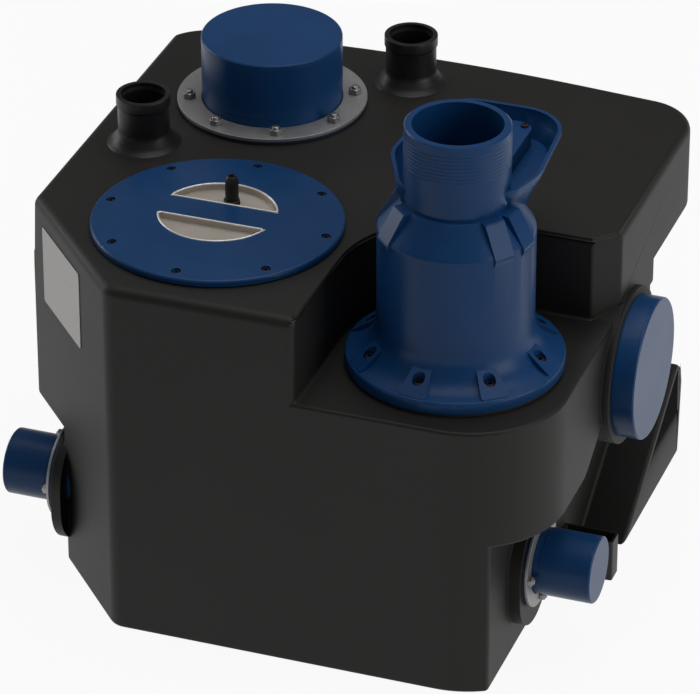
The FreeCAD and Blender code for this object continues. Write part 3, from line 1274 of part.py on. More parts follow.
def make_pump_feet():
    """Posts between the rubber pads and the pump casing."""
    posts = []
    for point in pump_foot_points():
        posts.append(rod(PUMP_FOOT_DIAMETER, point + V(0, 0, PAD_HEIGHT), V(0, 0, PUMP_FOOT_HEIGHT)))
    return Part.makeCompound(posts)


def make_pump_pads():
    """Rubber pads under the pump's feet."""
    pads = []
    for point in pump_foot_points():
        pads.append(rod(PAD_DIAMETER, point, V(0, 0, PAD_HEIGHT)))
    return Part.makeCompound(pads)


def motor_base():
    """The face between the pump casing and the motor housing."""
    return volute_floor() + VOLUTE_HEIGHT


def make_motor_housing():
    """Finned motor housing with a thick lower end that holds the seal and the lower bearing."""
    low = motor_base()
    outer = MOTOR_DIAMETER / 2
    inner = outer - MOTOR_WALL
    top = low + MOTOR_LENGTH
    floor_z = low + SEAL_HEIGHT + BEARING_PLATE_THICKNESS
    shell = turned((
        (SEAL_DIAMETER / 2, low), (outer, low), (outer, top), (inner, top), (inner, floor_z),
        (BEARING_DIAMETER / 2, floor_z), (BEARING_DIAMETER / 2, floor_z - BEARING_HEIGHT),
        (SEAL_DIAMETER / 2, floor_z - BEARING_HEIGHT)), PUMP)
    fins = []
    fin_low = floor_z + MOTOR_FIN_START
    fin_high = top - MOTOR_FIN_END
    for i in range(MOTOR_FIN_COUNT):
        fin = Part.makeBox(MOTOR_FIN_RISE + 2, MOTOR_FIN_THICKNESS, fin_high - fin_low,
                           V(PUMP_X + outer - 2, PUMP_Y - MOTOR_FIN_THICKNESS / 2, fin_low))
        fin.rotate(PUMP, UP, 360 * i / MOTOR_FIN_COUNT)
        fins.append(fin)
    return shell.fuse(fins)


def upper_bearing_z():
    """The lower face of the upper bearing."""
    return motor_base() + MOTOR_LENGTH - BEARING_HEIGHT


def make_motor_cap():
    """Domed motor cap that holds the upper bearing and carries the lifting handle."""
    low = motor_base() + MOTOR_LENGTH
    outer = MOTOR_DIAMETER / 2
    inner = outer - MOTOR_WALL - SLIDE_FIT
    bearing = BEARING_DIAMETER / 2
    dome = low + MOTOR_CAP_HEIGHT
    socket = bearing + BEARING_SOCKET_WALL
    tail = low - MOTOR_CAP_TAIL
    hollow_top = low + MOTOR_CAP_TAIL
    cap = turned((
        (0, hollow_top), (bearing, hollow_top), (bearing, low - BEARING_HEIGHT),
        (socket, low - BEARING_HEIGHT),
        (socket, tail), (inner, tail), (inner, low), (outer, low), (outer, low + MOTOR_CAP_RIM),
        (outer * MOTOR_CAP_SHOULDER, dome - MOTOR_CAP_RIM / 2), (outer * MOTOR_CAP_CROWN, dome),
        (0, dome)), PUMP)
    half = PUMP_HANDLE_SPAN / 2
    rods = PUMP_HANDLE_ROD
    top = dome + PUMP_HANDLE_HEIGHT
    foot = V(PUMP_X - half, PUMP_Y, dome - PUMP_HANDLE_ROOT)
    other = V(PUMP_X + half, PUMP_Y, dome - PUMP_HANDLE_ROOT)
    bar_start = V(PUMP_X - half - rods / 2, PUMP_Y, top)
    handle = [rod(rods, foot, V(0, 0, top - foot.z)), rod(rods, other, V(0, 0, top - other.z)),
              rod(rods, bar_start, V(PUMP_HANDLE_SPAN + rods, 0, 0))]
    return joined([cap] + handle)


def shaft_low():
    """The lower end of the shaft, at the impeller's nose."""
    return volute_floor() + VOLUTE_WALL + IMPELLER_GAP


def impeller_base():
    """The underside of the impeller's vanes."""
    return shaft_low() + IMPELLER_NOSE


def make_shaft():
    """Pump shaft from the impeller to the upper bearing."""
    top = motor_base() + MOTOR_LENGTH + 2
    radius = SHAFT_DIAMETER / 2
    return turned((
        (0, shaft_low()), (radius, shaft_low()), (radius, top - 1), (radius - 1, top), (0, top)), PUMP)


def vane(turn):
    """One impeller vane, bent back along an arc from the hub to the rim."""
    inner = IMPELLER_HUB_DIAMETER / 2 - VANE_ROOT
    tip = IMPELLER_DIAMETER / 2 - VANE_TIP_INSET
    middle = (inner + tip) / 2
    half = IMPELLER_VANE_THICKNESS / 2
    low = impeller_base()
    left, right = [
        [V(inner, edge, low), V(middle, edge - VANE_MIDDLE_BEND, low), V(tip, edge - VANE_TIP_BEND, low)]
        for edge in (half, -half)]
    edges = [Part.Arc(*left).toShape(), Part.LineSegment(left[2], right[2]).toShape(),
             Part.Arc(right[2], right[1], right[0]).toShape(), Part.LineSegment(right[0], left[0]).toShape()]
    blade = Part.Face(Part.Wire(edges)).extrude(V(0, 0, IMPELLER_VANE_HEIGHT + 1))
    blade.rotate(V(0, 0, 0), UP, turn)
    blade.translate(PUMP)
    return blade


def make_impeller():
    """Open impeller: back plate, hub and curved vanes."""
    low = impeller_base()
    plate_z = low + IMPELLER_VANE_HEIGHT
    plate = rod(IMPELLER_DIAMETER, V(PUMP_X, PUMP_Y, plate_z), V(0, 0, IMPELLER_PLATE))
    hub_height = IMPELLER_VANE_HEIGHT + IMPELLER_PLATE + IMPELLER_HUB_RISE
    hub = rod(IMPELLER_HUB_DIAMETER, V(PUMP_X, PUMP_Y, low), V(0, 0, hub_height))
    vanes = [vane(360 * i / IMPELLER_VANE_COUNT) for i in range(IMPELLER_VANE_COUNT)]
    bore = rod(SHAFT_DIAMETER, V(PUMP_X, PUMP_Y, low - 1), V(0, 0, OUTSIDE))
    return joined([plate, hub] + vanes).cut(bore)


def make_motor_inside():
    """Rotor core, stator, bearings and shaft seal."""
    base = motor_base()
    low_bearing = base + SEAL_HEIGHT + BEARING_PLATE_THICKNESS - BEARING_HEIGHT
    rotor_z = low_bearing + BEARING_HEIGHT + ROTOR_GAP
    stator_z = rotor_z - (STATOR_LENGTH - ROTOR_LENGTH) / 2
    bore = SHAFT_DIAMETER + 2 * RUNNING_FIT
    stator_outer = MOTOR_DIAMETER - 2 * MOTOR_WALL

    def ring(outer, inner, z, height):
        return tube(outer, inner, V(PUMP_X, PUMP_Y, z), V(0, 0, height))

    return {
        "rotor_core": ring(ROTOR_DIAMETER, SHAFT_DIAMETER, rotor_z, ROTOR_LENGTH),
        "stator": ring(stator_outer, STATOR_BORE, stator_z, STATOR_LENGTH),
        "lower_bearing": ring(BEARING_DIAMETER, bore, low_bearing, BEARING_HEIGHT),
        "upper_bearing": ring(BEARING_DIAMETER, bore, upper_bearing_z(), BEARING_HEIGHT),
        "shaft_seal": ring(SEAL_DIAMETER, bore, base - VOLUTE_WALL, VOLUTE_WALL + SEAL_HEIGHT),
    }


def make_riser():
    """Riser: outlet flange, level run, bend and upright run to the counter flange under the recess."""
    axis = outlet_axis()
    start = axis + V(OUTLET_REACH + OUTLET_GASKET_THICKNESS, 0, 0)
    top_z = RECESS_FLOOR_Z - TANK_WALL - RISER_GASKET_THICKNESS
    corner = V(VALVE_X, VALVE_Y, axis.z)
    bend_start = corner - V(RISER_BEND_RADIUS, 0, 0)
    bend_end = corner + V(0, 0, RISER_BEND_RADIUS)
    middle = corner + V(-RISER_BEND_RADIUS, 0, RISER_BEND_RADIUS)
    middle = middle + V(math.sin(math.pi / 4), 0, -math.cos(math.pi / 4)) * RISER_BEND_RADIUS
    bore = OUTLET_BORE / 2
    flare_z = top_z - RISER_FLANGE_THICKNESS - RISER_FLARE_HEIGHT

    def run(radius):
        level_run = Part.makeCylinder(radius, bend_start.x - start.x, start, RIGHT)
        path = Part.Wire([Part.Arc(bend_start, middle, bend_end).toShape()])
        section = Part.Wire([Part.makeCircle(radius, bend_start, RIGHT)])
        bend = path.makePipeShell([section], True, False)
        grow = radius + VALVE_INLET_BORE / 2 - bore
        upright_run = turned((
            (0, bend_end.z), (radius, bend_end.z), (radius, flare_z), (grow, top_z), (0, top_z)), VALVE)
        return joined([level_run, bend, upright_run])

    lower_flange = rod(OUTLET_FLANGE_DIAMETER, start, V(OUTLET_FLANGE_THICKNESS, 0, 0))
    upper_flange = rod(RISER_TOP_DIAMETER, V(VALVE_X, VALVE_Y, top_z - RISER_FLANGE_THICKNESS),
                       V(0, 0, RISER_FLANGE_THICKNESS))
    riser = joined([run(bore + RISER_WALL), lower_flange, upper_flange]).cut(run(bore))
    hole = VALVE_SCREW_DIAMETER + 2 * HOLE_PLAY
    return riser.cut([rod(hole, p - V(0, 0, OUTSIDE), V(0, 0, OUTSIDE)) for p in valve_screw_points()])


def make_riser_gaskets():
    """Gaskets at both ends of the riser."""
    start = outlet_axis() + V(OUTLET_REACH, 0, 0)
    upper = V(VALVE_X, VALVE_Y, RECESS_FLOOR_Z - TANK_WALL - RISER_GASKET_THICKNESS)
    hole = VALVE_SCREW_DIAMETER + 2 * HOLE_PLAY
    low_travel = V(OUTLET_GASKET_THICKNESS, 0, 0)
    return {
        "riser_gasket_low": tube(OUTLET_FLANGE_DIAMETER, OUTLET_BORE, start, low_travel),
        "riser_gasket_top": make_flat_ring(RISER_TOP_DIAMETER, VALVE_INLET_BORE, upper,
                                           V(0, 0, RISER_GASKET_THICKNESS), valve_screw_points(), hole),
    }


def float_pivot():
    """The middle of the float's pivot."""
    return V(FLOAT_X, FLOAT_Y, FLOAT_PIVOT_Z)


def make_float_bracket():
    """Hanger under the tank top: a plate and two cheeks with the switch housing between them."""
    ceiling = TANK_HEIGHT - TANK_WALL
    pivot = float_pivot()
    half = FLOAT_CHEEK_WIDTH / 2
    rounding = half - FLOAT_CHEEK_END
    half_pad = FLOAT_PAD_SIZE / 2
    pad = Part.makeBox(FLOAT_PAD_SIZE, FLOAT_PAD_SIZE, FLOAT_PAD_THICKNESS,
                       V(FLOAT_X - half_pad, FLOAT_Y - half_pad, ceiling - FLOAT_PAD_THICKNESS))
    cheeks = []
    for side in (-1, 1):
        inner = side * (FLOAT_EYE_WIDTH / 2 + SIDE_PLAY)
        start = min(inner, inner + side * FLOAT_CHEEK_THICKNESS)
        corners = ((FLOAT_X - half, ceiling - 1, 0), (FLOAT_X - half, pivot.z - half, rounding),
                   (FLOAT_X + half, pivot.z - half, rounding), (FLOAT_X + half, ceiling - 1, 0))
        cheek = block(corners, lambda u, v: V(u, FLOAT_Y + start, v), V(0, FLOAT_CHEEK_THICKNESS, 0))
        cheeks.append(cheek)
    pin = rod(FLOAT_PIN_DIAMETER, pivot - V(0, OUTSIDE / 2, 0), V(0, OUTSIDE, 0))
    return joined([pad] + cheeks).cut(pin)


def make_float_switch():
    """Switch housing between the cheeks, above the float's pivot."""
    pivot = float_pivot()
    width = FLOAT_EYE_WIDTH + 2 * SIDE_PLAY
    low = pivot.z + FLOAT_EYE_DIAMETER / 2 + FLOAT_SWITCH_GAP
    return Part.makeBox(FLOAT_SWITCH_DEPTH, width, FLOAT_SWITCH_HEIGHT,
                        V(FLOAT_X - FLOAT_SWITCH_DEPTH / 2, FLOAT_Y - width / 2, low))


def make_float_pin():
    """Pivot pin through both cheeks."""
    half = FLOAT_EYE_WIDTH / 2 + SIDE_PLAY + FLOAT_CHEEK_THICKNESS
    return rod(FLOAT_PIN_DIAMETER, float_pivot() - V(0, half, 0), V(0, 2 * half, 0))


def float_direction():
    """The way the float arm points at rest."""
    angle = math.radians(FLOAT_REST_ANGLE)
    return V(math.cos(angle), 0, -math.sin(angle))


def float_near():
    """How far the near side of the float is from its pivot."""
    return FLOAT_ARM_LENGTH - FLOAT_DIAMETER / 2


def make_float_arm():
    """Float arm: an eye on the pin and a rod into the float."""
    pivot = float_pivot()
    eye = rod(FLOAT_EYE_DIAMETER, pivot - V(0, FLOAT_EYE_WIDTH / 2, 0), V(0, FLOAT_EYE_WIDTH, 0))
    bar = rod(FLOAT_ARM_DIAMETER, pivot, float_direction() * (float_near() + FLOAT_SOCKET_DEPTH))
    pin_hole = rod(FLOAT_PIN_DIAMETER + 2 * RUNNING_FIT, pivot - V(0, OUTSIDE / 2, 0), V(0, OUTSIDE, 0))
    return joined([eye, bar]).cut(pin_hole)


def make_float():
    """Hollow round float with a socket for its arm."""
    centre = float_pivot() + float_direction() * FLOAT_ARM_LENGTH
    ball = Part.makeSphere(FLOAT_DIAMETER / 2, centre)
    boss_start = float_pivot() + float_direction() * (float_near() - FLOAT_BOSS_RISE)
    boss = rod(FLOAT_BOSS_DIAMETER, boss_start, float_direction() * FLOAT_BOSS_LENGTH)
    socket = rod(FLOAT_ARM_DIAMETER, float_pivot(), float_direction() * (float_near() + FLOAT_SOCKET_DEPTH))
    return joined([ball, boss]).cut(socket)


def make_anchor(side):
    """Open shoe beside the tank wall, with a bolt hole in its floor."""
    start = wall_x(side)
    end = start + side * ANCHOR_REACH
    radius = ANCHOR_CORNER_RADIUS

    def corners(skin, corner_radius):
        near = start + side * skin
        far = end - side * skin
        front = ANCHOR_Y - ANCHOR_WIDTH / 2 + skin
        back = ANCHOR_Y + ANCHOR_WIDTH / 2 - skin
        return ((near, front, 0), (far, front, corner_radius), (far, back, corner_radius), (near, back, 0))

    shoe = block(corners(0, radius), level(0), V(0, 0, ANCHOR_HEIGHT))
    hollow = block(corners(ANCHOR_WALL, 0), level(ANCHOR_WALL), V(0, 0, ANCHOR_HEIGHT))
    hole = rod(ANCHOR_HOLE, V((start + end) / 2, ANCHOR_Y, -1), V(0, 0, 3 * ANCHOR_WALL))
    return shoe.cut([hollow, hole])


def main():
    """Write every piece of the station."""
    save("tank_shell", make_tank())
    save("name_plate", make_name_plate())
    for name, side in (("left", -1), ("right", 1)):
        save("floor_anchor_" + name, make_anchor(side))
    save("vent_sockets", Part.makeCompound([vent_socket(x, y) for x, y in VENT_PLACES]))
    save("vent_seals", Part.makeCompound([vent_seal(x, y) for x, y in VENT_PLACES]))

    save("lid_gasket", make_lid_gasket())
    save("inspection_lid", make_lid())
    save("lid_pans", make_lid_pans())
    save("lid_screws", Part.makeCompound([
        stack_screw(LID_SCREW_HEAD_DIAMETER, LID_SCREW_HEAD_HEIGHT, LID_SCREW_DIAMETER, LID_SCREW_LENGTH,
                    V(p.x, p.y, screw_seat_z())) for p in lid_screw_points()]))
    save("cable_gland", make_gland())

    groups = [make_top_inlet(), make_side_inlet(), make_stub(-1, "left"), make_stub(1, "right"),
              make_valve_fixings(), make_valve_cover(), make_motor_inside(), make_riser_gaskets()]
    for group in groups:
        for name, shape in group.items():
            save(name, shape)

    save("discharge_valve_body", make_valve_body())
    save("valve_seat", make_seat())
    save("valve_flap", make_flap())
    save("valve_flap_facing", make_flap_facing())
    save("valve_flap_pin", make_flap_pin())

    save("pump_volute", make_volute())
    save("pump_feet", make_pump_feet())
    save("pump_foot_pads", make_pump_pads())
    save("motor_housing", make_motor_housing())
    save("motor_cap", make_motor_cap())
    save("pump_shaft", make_shaft())
    save("pump_impeller", make_impeller())
    save("riser_pipe", make_riser())

    save("float_bracket", make_float_bracket())
    save("float_switch", make_float_switch())
    save("float_pivot_pin", make_float_pin())
    save("float_arm", make_float_arm())
    save("float_ball", make_float())


main()
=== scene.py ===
# %% [markdown]
# A sewage lifting station stands on the floor of a cellar: a black moulded tank with a pump inside, a blue
# lid, a blue cast valve and closed blue pipe ends. The construction comes packed as a frame of rigid
# pieces. This lesson gives those pieces their finish, one step at a time, and adds the fine shapes that
# show. Everything is in metres, in the frame's own place, so nothing has to be fitted afterwards.

# %% Load the frame
import json
import math

import bmesh
import bpy
import numpy as np
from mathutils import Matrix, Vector


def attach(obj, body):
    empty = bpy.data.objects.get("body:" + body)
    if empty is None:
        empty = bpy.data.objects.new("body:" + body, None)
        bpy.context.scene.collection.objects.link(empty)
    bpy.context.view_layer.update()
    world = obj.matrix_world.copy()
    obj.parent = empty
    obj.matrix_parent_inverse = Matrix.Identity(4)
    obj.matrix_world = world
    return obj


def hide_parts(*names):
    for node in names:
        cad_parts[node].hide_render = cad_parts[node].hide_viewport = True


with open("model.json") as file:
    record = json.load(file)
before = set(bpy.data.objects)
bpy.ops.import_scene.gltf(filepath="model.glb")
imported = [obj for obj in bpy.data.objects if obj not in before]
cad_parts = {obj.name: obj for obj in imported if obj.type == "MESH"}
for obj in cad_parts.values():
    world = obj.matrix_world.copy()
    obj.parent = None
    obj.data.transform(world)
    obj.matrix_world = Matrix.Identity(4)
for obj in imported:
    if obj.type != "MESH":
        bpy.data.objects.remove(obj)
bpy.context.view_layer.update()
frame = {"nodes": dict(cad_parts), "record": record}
MM = 0.001

# %% [markdown]
# A material is a small program. Drawing it as dozens of nodes by hand hides the idea, so a wrapper around
# an output socket lets Python's own signs add the Math nodes. A sum such as `0.3 + 0.2 * grain` then reads
# as it works. Each sign has a second form for a number on its left.

# %% Sums on sockets
class Wire:
    """One output socket. The signs +, - and * on it add Math nodes and give a new Wire."""

    def __init__(self, paint, socket):
        self.paint = paint
        self.socket = socket

    def _sum(self, operation, first, second):
        node = self.paint.node("ShaderNodeMath", {"operation": operation}, {0: first, 1: second})
        return node["Value"]

    def __add__(self, other):
        return self._sum("ADD", self, other)

    def __radd__(self, other):
        return self._sum("ADD", other, self)

    def __sub__(self, other):
        return self._sum("SUBTRACT", self, other)

    def __rsub__(self, other):
        return self._sum("SUBTRACT", other, self)

    def __mul__(self, other):
        return self._sum("MULTIPLY", self, other)

    def __rmul__(self, other):
        return self._sum("MULTIPLY", other, self)


print("a wire adds nodes for:", "+ - *")

# %% [markdown]
# Every node now comes from one method, which takes the node's kind, its settings and what feeds it. The
# other methods are short names for what each finish needs: a place, a noise, a curve, a mixed colour, a
# bump, and a mask of the edges, which carries wear and painted highlights. Colours never pass through a Math
# node, because it would turn them grey: they are mixed.

# %% A material under construction
EDGE_SAMPLES = 6
# the edge mask carries wear, and on steel and blue coating a painted highlight
EDGE_CURVE = (0.82, 1.0), (0.995, 0.0)      # likeness of the two normals, and the wear that it gives


class Paint:
    """A material or a world under construction, with the one shader that it starts with."""

    def __init__(self, owner, shader="Principled BSDF"):
        owner.use_nodes = True
        self.owner = owner
        self.tree = owner.node_tree
        self.shader = self.tree.nodes[shader]

    def node(self, kind, settings=None, inputs=None):
        """Add a node: its settings first, then its inputs. Returns its outputs by name, as Wires."""
        made = self.tree.nodes.new(kind)
        for key, value in (settings or {}).items():
            if key == "stops":
                self._set_stops(made.color_ramp, value)
            else:
                setattr(made, key, value)
        for key, value in (inputs or {}).items():
            self._feed(made.inputs[key], value)
        return {out.name: Wire(self, out) for out in made.outputs if out.enabled}

    def _set_stops(self, ramp, stops):
        """Give a colour ramp its (position, grey value) stops."""
        while len(ramp.elements) < len(stops):
            ramp.elements.new(1.0)
        for element, (position, value) in zip(ramp.elements, stops):
            element.position = position
            element.color = (value, value, value, 1.0)

    def _feed(self, socket, value):
        """Link a wire to a socket, or set its number or colour. A colour gets its opacity here."""
        if isinstance(value, Wire):
            self.tree.links.new(value.socket, socket)
        elif socket.type == "RGBA":
            socket.default_value = (*value, 1.0)
        else:
            socket.default_value = value

    def set(self, **inputs):
        """Feed the shader's own sockets. Underscores in the names stand for blanks."""
        for key, value in inputs.items():
            self._feed(self.shader.inputs[key.replace("_", " ")], value)

    def end_in(self, surface):
        """Let another shader than the first one reach the output."""
        self._feed(self.tree.nodes["Material Output"].inputs["Surface"], surface)

    def place(self, scale=(1, 1, 1), turn=(0, 0, 0)):
        """Object coordinates, turned and then scaled."""
        coordinates = self.node("ShaderNodeTexCoord")["Object"]
        mapping = self.node("ShaderNodeMapping", {"vector_type": "POINT"},
                            {"Vector": coordinates, "Rotation": turn, "Scale": scale})
        return mapping["Vector"]

    def noise(self, scale, detail=3.0, rough=0.5, where=None):
        """Cloudy noise between 0 and 1. scale is in cells per metre."""
        where = where or self.place()
        node = self.node("ShaderNodeTexNoise", {"noise_dimensions": "3D"},
                         {"Vector": where, "Scale": scale, "Detail": detail, "Roughness": rough})
        return node["Fac"]

    def ramp(self, value, *stops):
        """A value bent by a curve of (position, value) stops."""
        node = self.node("ShaderNodeValToRGB", {"stops": stops}, {"Fac": value})
        return node["Color"]

    def mix(self, first, second, share):
        """A colour between two colours. The Mix node's sockets 6 and 7 are its two colours."""
        settings = {"data_type": "RGBA", "blend_type": "MIX", "clamp_factor": True}
        return self.node("ShaderNodeMix", settings, {0: share, 6: first, 7: second})["Result"]

    def larger(self, first, second):
        """The larger of two values."""
        return self.node("ShaderNodeMath", {"operation": "MAXIMUM"}, {0: first, 1: second})["Value"]

    def bump(self, height, depth):
        """A normal tilted by a height field. depth is the height's size in metres."""
        node = self.node("ShaderNodeBump", None, {"Height": height, "Distance": depth, "Strength": 1.0})
        return node["Normal"]

    def edges(self, radius):
        """1 on edges sharper than the radius, 0 on flat stretches.
        It tells how far a rounded normal leaves the true one."""
        true = self.node("ShaderNodeNewGeometry")["Normal"]
        rounded = self.node("ShaderNodeBevel", {"samples": EDGE_SAMPLES}, {"Radius": radius})["Normal"]
        likeness = self.node("ShaderNodeVectorMath", {"operation": "DOT_PRODUCT"}, {0: true, 1: rounded})
        return self.ramp(likeness["Value"], *EDGE_CURVE)


print("methods of a material:", [name for name in vars(Paint) if not name.startswith("_")])

# %% [markdown]
# The tank is rotationally moulded polyethylene: powder melted against a steel mould. Such a wall is matt,
# has a very fine grain, large soft cloudy differences in gloss, and edges that are rubbed a little lighter
# and smoother. A single black would look like a hole in the picture. Three noises of very different scale
# give the wall its life.

# %% Black moulded plastic
TANK_BLACK = (0.0084, 0.0076, 0.0067)
TANK_GREY = (0.0205, 0.0188, 0.0170)
VENT_BLACK = (0.0070, 0.0064, 0.0060)
VENT_GREY = (0.018, 0.017, 0.016)
ACCESSORY_BLACK = (0.0125, 0.0120, 0.0115)
ACCESSORY_GREY = (0.028, 0.027, 0.026)


def make_tank_plastic(name, dark, light, rough=0.50):
    """Colour: dark, lifted towards light by clouds and edges.
    Roughness and bump: clouds, grain and long scuffs."""
    paint = Paint(bpy.data.materials.new(name))
    clouds = paint.noise(5.0, 4.0, 0.55)
    grain = paint.noise(1400.0, 2.0, 0.6)
    orange_peel = paint.noise(160.0, 3.0, 0.5)
    scuffs = paint.noise(26.0, 6.0, 0.75, paint.place(scale=(1.0, 1.0, 7.0), turn=(0.3, 0.2, 0.5)))
    scuffs = paint.ramp(scuffs, (0.60, 0.0), (0.74, 1.0))
    edge_wear_and_highlight = paint.edges(2.5 * MM)
    share = 0.42 * clouds + 0.10 * grain + 0.18 * scuffs + 0.55 * edge_wear_and_highlight
    paint.set(Base_Color=paint.mix(dark, light, share),
              Roughness=rough + 0.10 * clouds - 0.10 * edge_wear_and_highlight + 0.06 * scuffs,
              Normal=paint.bump(0.25 * orange_peel + 0.08 * grain + 0.05 * scuffs, 0.5 * MM),
              Specular_IOR_Level=0.30)
    return paint.owner


tank_plastic = make_tank_plastic("tank plastic", TANK_BLACK, TANK_GREY)
vent_plastic = make_tank_plastic("vent plastic", VENT_BLACK, VENT_GREY, 0.36)
accessory_plastic = make_tank_plastic("accessory plastic", ACCESSORY_BLACK, ACCESSORY_GREY, 0.42)
print("made", tank_plastic.name, vent_plastic.name, "and", accessory_plastic.name)

# %% [markdown]
# Three blues lie side by side and differ more in surface than in colour. Pipe ends are extruded: smooth,
# with faint drawing lines round them. The lid is pressed and glossier. The valve is cast iron under a thick
# coating, which is wavy like the skin of an orange. On all three the edges are painted lighter, partly as
# wear and partly as a painted highlight.

# %% Blue plastics and blue coating
PIPE_BLUE = (0.0050, 0.0440, 0.1400)
LID_BLUE = (0.0040, 0.0400, 0.1300)
VALVE_BLUE = (0.0040, 0.0420, 0.1380)


def lighter(colour, factor, white=0.0):
    """The colour brought up by a factor, then towards white."""
    return tuple(min(1.0, c * factor) * (1 - white) + white for c in colour)


def make_coated(name, colour, rough, wave_scale, wave_depth, dust):
    """Colour: clouds, and edges painted lighter for wear and as a painted highlight.
    Bump: one broad wave and one fine grain. Dust makes upward faces paler."""
    paint = Paint(bpy.data.materials.new(name))
    clouds = paint.noise(9.0, 4.0, 0.55)
    wave = paint.noise(wave_scale, 2.0, 0.45)
    grain = paint.noise(1100.0, 2.0, 0.5)
    edge_wear_and_highlight = paint.edges(1.8 * MM)
    normal = paint.node("ShaderNodeNewGeometry")["Normal"]
    up = paint.node("ShaderNodeSeparateXYZ", None, {"Vector": normal})["Z"]
    settled = paint.ramp(up, (0.55, 0.0), (1.0, 1.0)) * paint.ramp(clouds, (0.35, 0.2), (0.7, 1.0))
    base = paint.mix(lighter(colour, 0.86), lighter(colour, 1.16), 0.75 * clouds + 0.25 * grain)
    # edges painted lighter: wear, and a painted highlight
    base = paint.mix(base, lighter(colour, 1.5, 0.012), 0.55 * edge_wear_and_highlight)
    base = paint.mix(base, lighter(colour, 1.15, 0.008), dust * settled)
    paint.set(Base_Color=base,
              Roughness=rough + 0.09 * clouds + 0.22 * dust * settled - 0.05 * edge_wear_and_highlight,
              Normal=paint.bump(wave + 0.05 * grain, wave_depth),
              Specular_IOR_Level=0.22)
    return paint.owner


pipe_blue = make_coated("pipe blue", PIPE_BLUE, 0.30, 60.0, 0.10 * MM, 0.35)
lid_blue = make_coated("lid blue", LID_BLUE, 0.26, 45.0, 0.12 * MM, 0.45)
valve_blue = make_coated("valve blue", VALVE_BLUE, 0.30, 190.0, 0.22 * MM, 0.30)
print("made", pipe_blue.name, lid_blue.name, valve_blue.name)

# %% [markdown]
# Stainless steel shows its last working. A pressed plate has a straight brushing, which is noise drawn out
# along one direction: the coordinates are scaled by different amounts before the noise reads them. The ring
# has no such direction, so its noise is nearly even, and dark spots of tarnish make it mottled. Every edge
# is painted lighter, partly as wear and mostly as a painted highlight: the glints of the edges.

# %% Steel
STEEL_GREY = (0.30, 0.30, 0.30)
RING_GREY = (0.34, 0.335, 0.335)
PAN_TAUPE = (0.50, 0.455, 0.40)
# the bead's near-white is partly a painted highlight: the bright rim of the polished bead
BEAD_HIGHLIGHT_WHITE = (0.88, 0.86, 0.84)
PLATE_GREY = (0.40, 0.385, 0.38)
SCREW_BLACK = (0.035, 0.036, 0.040)


def make_steel(name, colour, rough, stretch=(40.0, 1400.0, 1400.0), metallic=1.0):
    """Brushed metal: noise stretched along one way, over a cloudy soft tarnish.
    Satin steel is less metallic. Edges are painted lighter, for wear and as a painted highlight."""
    paint = Paint(bpy.data.materials.new(name))
    lines = paint.noise(1.0, 3.0, 0.6, paint.place(scale=stretch))
    clouds = paint.noise(22.0, 5.0, 0.6)
    spots = paint.ramp(paint.noise(130.0, 4.0, 0.6), (0.62, 0.0), (0.75, 1.0))
    edge_wear_and_highlight = paint.edges(0.8 * MM)
    base = paint.mix(lighter(colour, 0.78), lighter(colour, 1.18), 0.5 * clouds + 0.5 * lines)
    base = paint.mix(base, lighter(colour, 0.45), 0.55 * spots)
    # edges painted lighter: wear, and a painted highlight for their glints
    base = paint.mix(base, lighter(colour, 1.9), 0.7 * edge_wear_and_highlight)
    paint.set(Base_Color=base, Metallic=metallic,
              Roughness=rough + 0.16 * clouds + 0.10 * lines - 0.10 * edge_wear_and_highlight,
              Normal=paint.bump(lines + 0.4 * clouds, 0.03 * MM))
    return paint.owner


steel = make_steel("steel", STEEL_GREY, 0.34)
ring_steel = make_steel("ring steel", RING_GREY, 0.38, (90.0, 90.0, 300.0), 0.75)
pan_steel = make_steel("pan steel", PAN_TAUPE, 0.34, (30.0, 1200.0, 1200.0), 0.45)
# near-white bead steel: partly a painted highlight
bead_highlight_steel = make_steel("bead steel", BEAD_HIGHLIGHT_WHITE, 0.22, (300.0, 300.0, 300.0), 0.45)
plate_metal = make_steel("plate metal", PLATE_GREY, 0.42, (25.0, 25.0, 1500.0), 0.7)
dark_steel = make_steel("dark steel", SCREW_BLACK, 0.40)
print("made", steel.name, "and five more")

# %% [markdown]
# Cast iron and turned brass show a grain without a direction, and so does moulded rubber. One recipe serves
# all three, and only the colour, the roughness and how far the surface is bare metal differ.

# %% Iron, brass, rubber and the float
IRON_GREY = (0.085, 0.090, 0.098)
BRASS_YELLOW = (0.55, 0.40, 0.17)
RUBBER_BLACK = (0.012, 0.012, 0.012)
FLOAT_ORANGE = (0.50, 0.22, 0.04)


def make_cast(name, colour, rough, metallic):
    """A sand-cast or turned surface: coarse grain, dark hollows, rubbed edges."""
    paint = Paint(bpy.data.materials.new(name))
    clouds = paint.noise(14.0, 5.0, 0.6)
    sand = paint.noise(420.0, 4.0, 0.65)
    edge_wear_and_highlight = paint.edges(1.5 * MM)
    base = paint.mix(lighter(colour, 0.7), lighter(colour, 1.25), 0.6 * clouds + 0.4 * sand)
    base = paint.mix(base, lighter(colour, 1.9), 0.5 * edge_wear_and_highlight)
    paint.set(Base_Color=base, Metallic=metallic,
              Roughness=rough + 0.15 * clouds - 0.12 * edge_wear_and_highlight, Normal=paint.bump(sand, 0.18 * MM))
    return paint.owner


pump_iron = make_cast("pump iron", IRON_GREY, 0.46, 0.25)
seat_brass = make_cast("seat brass", BRASS_YELLOW, 0.30, 1.0)
seal_rubber = make_cast("seal rubber", RUBBER_BLACK, 0.62, 0.0)
float_plastic = make_coated("float plastic", FLOAT_ORANGE, 0.34, 70.0, 0.08 * MM, 0.2)
print("made", len(bpy.data.materials), "materials")

